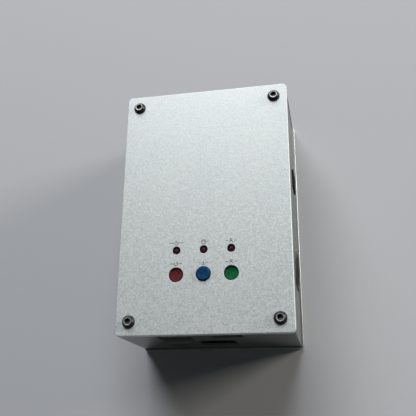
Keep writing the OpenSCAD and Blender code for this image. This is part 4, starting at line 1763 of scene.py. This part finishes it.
@dataclass
class Studio:
    """A pale floor, soft lights behind and above the object, and the camera."""

    azimuth: float = 29.06
    elevation: float = 66.63
    roll: float = 30.61
    distance: float = 268.8
    lens: float = 53.0
    aim: tuple[float, float] = (1.8, -2.0)
    clip: tuple[float, float] = (0.01, 10.0)
    floor_middle: float = 400.0
    floor_reach: float = 3500.0
    sweep: float = 1500.0
    floor_look: Finish = Finish("pale_studio_floor", "c4c5c7", 0.75, 0.0, 1.2, 0.01, 0.03)
    # A large light high behind the object, a small one to its right, and one for the floor's far end.
    lights: tuple[SoftLight, ...] = (
        SoftLight("window_behind", (-280.0, 2500.0, 1900.0), 2500.0, 112.0, "f8fbff"),
        SoftLight("window_right", (2300.0, 900.0, 500.0), 850.0, 54.0, "fffaf2"),
        SoftLight("backdrop_wash", (0.0, 2900.0, 1500.0), 1800.0, 16.0, "ffffff", (0.0, 5000.0, 500.0)),
    )
    sky_tint: str = "e6ebee"
    sky_strength: float = 0.04

    def make_floor(self) -> None:
        """A flat disc whose far rim sweeps up, so that no view shows an edge.

        The rim's profile is (reach + sweep sin a, sweep (1 - cos a)), a from 0 to 90 degrees.
        """
        turn = np.linspace(0, np.pi / 2, 16)
        curve = zip(self.floor_reach + self.sweep * np.sin(turn), self.sweep * (1 - np.cos(turn)))
        sheet = turned(plain([(0.0, 0.0), (self.floor_middle, 0.0), *curve]), 96)
        mesh = bpy.data.meshes.new("floor")
        mesh.from_pydata((sheet.points * MM).tolist(), [], sheet.faces)
        work = bmesh.new()
        work.from_mesh(mesh)
        bmesh.ops.remove_doubles(work, verts=work.verts, dist=MERGE * MM)
        bmesh.ops.reverse_faces(work, faces=[f for f in work.faces if f.normal.z < -0.01])
        work.to_mesh(mesh)
        work.free()
        mesh.shade_smooth()
        mesh.materials.append(self.floor_look.material())
        floor = bpy.data.objects.new("floor", mesh)
        bpy.context.scene.collection.objects.link(floor)

    def make_lights(self) -> None:
        """The three lights and a weak even sky."""
        for light in self.lights:
            light.make()
        world = bpy.data.worlds.new("sky")
        world.use_nodes = True
        sky = {"Color": linear(self.sky_tint), "Strength": self.sky_strength}
        connect(world.node_tree, world.node_tree.nodes["Background"], sky)
        bpy.context.scene.world = world
        bpy.context.scene.view_settings.view_transform = "Standard"

    def make_camera(self) -> None:
        """The camera, turned about its own line of sight by roll."""
        a, e, r = (math.radians(v) for v in (self.azimuth, self.elevation, self.roll))
        back = Vector((math.sin(a) * math.cos(e), -math.cos(a) * math.cos(e), math.sin(e)))
        level = Vector((math.cos(a), math.sin(a), 0.0))
        upright = back.cross(level)
        up = upright * math.cos(r) + level * math.sin(r)
        right = up.cross(back)
        lid = Span.of("top_plate")
        target = Vector((lid.middle[0] + self.aim[0], lid.middle[1] + self.aim[1], lid.hi[2]))
        data = bpy.data.cameras.new("camera")
        data.lens = self.lens
        data.clip_start, data.clip_end = self.clip
        made = bpy.data.objects.new("camera", data)
        turn = Matrix((right, up, back)).transposed()
        made.rotation_mode = "QUATERNION"
        made.rotation_quaternion = turn.to_quaternion()
        made.location = (target + back * self.distance) * MM
        bpy.context.scene.collection.objects.link(made)
        bpy.context.scene.camera = made

    def make(self) -> None:
        """Sets the whole studio."""
        self.make_floor()
        self.make_lights()
        self.make_camera()


def main() -> None:
    """Builds the object around the frame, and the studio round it."""
    logging.basicConfig(level=logging.INFO, format="%(name)s %(message)s")
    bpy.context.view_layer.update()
    Studio().make()
    enclosure = Enclosure()
    enclosure.make()
    CornerScrews(enclosure.screw_spots()).make()
    for column, look in zip(COLUMNS, (RED_ABS, BLUE_ABS, GREEN_ABS)):
        PushButton(column, look).make()
    for title in LAMPS:
        Lamp(title).make()
    Marking().make()
    stacked = ((3.2, 0.4), (12.2, 8.6))
    UsbSocket("twin_usb_shell", Facing.FRONT, insert="twin_usb_insert", ports=stacked).make()
    UsbSocket("single_usb_shell", Facing.FRONT, insert="single_usb_insert").make()
    for side, facing in (("front", Facing.FRONT), ("side", Facing.RIGHT)):
        EthernetSocket(f"{side}_ethernet_shell", facing, insert=f"{side}_ethernet_insert").make()
    MicroSocket("micro_usb_shell", Facing.FRONT, 0.3, insert="micro_usb_insert").make()
    PowerJack("power_jack_body", Facing.RIGHT).make()
    CardSlot("card_socket", Facing.FRONT).make()
    Inside().make()


if __name__ == "__main__":
    main()
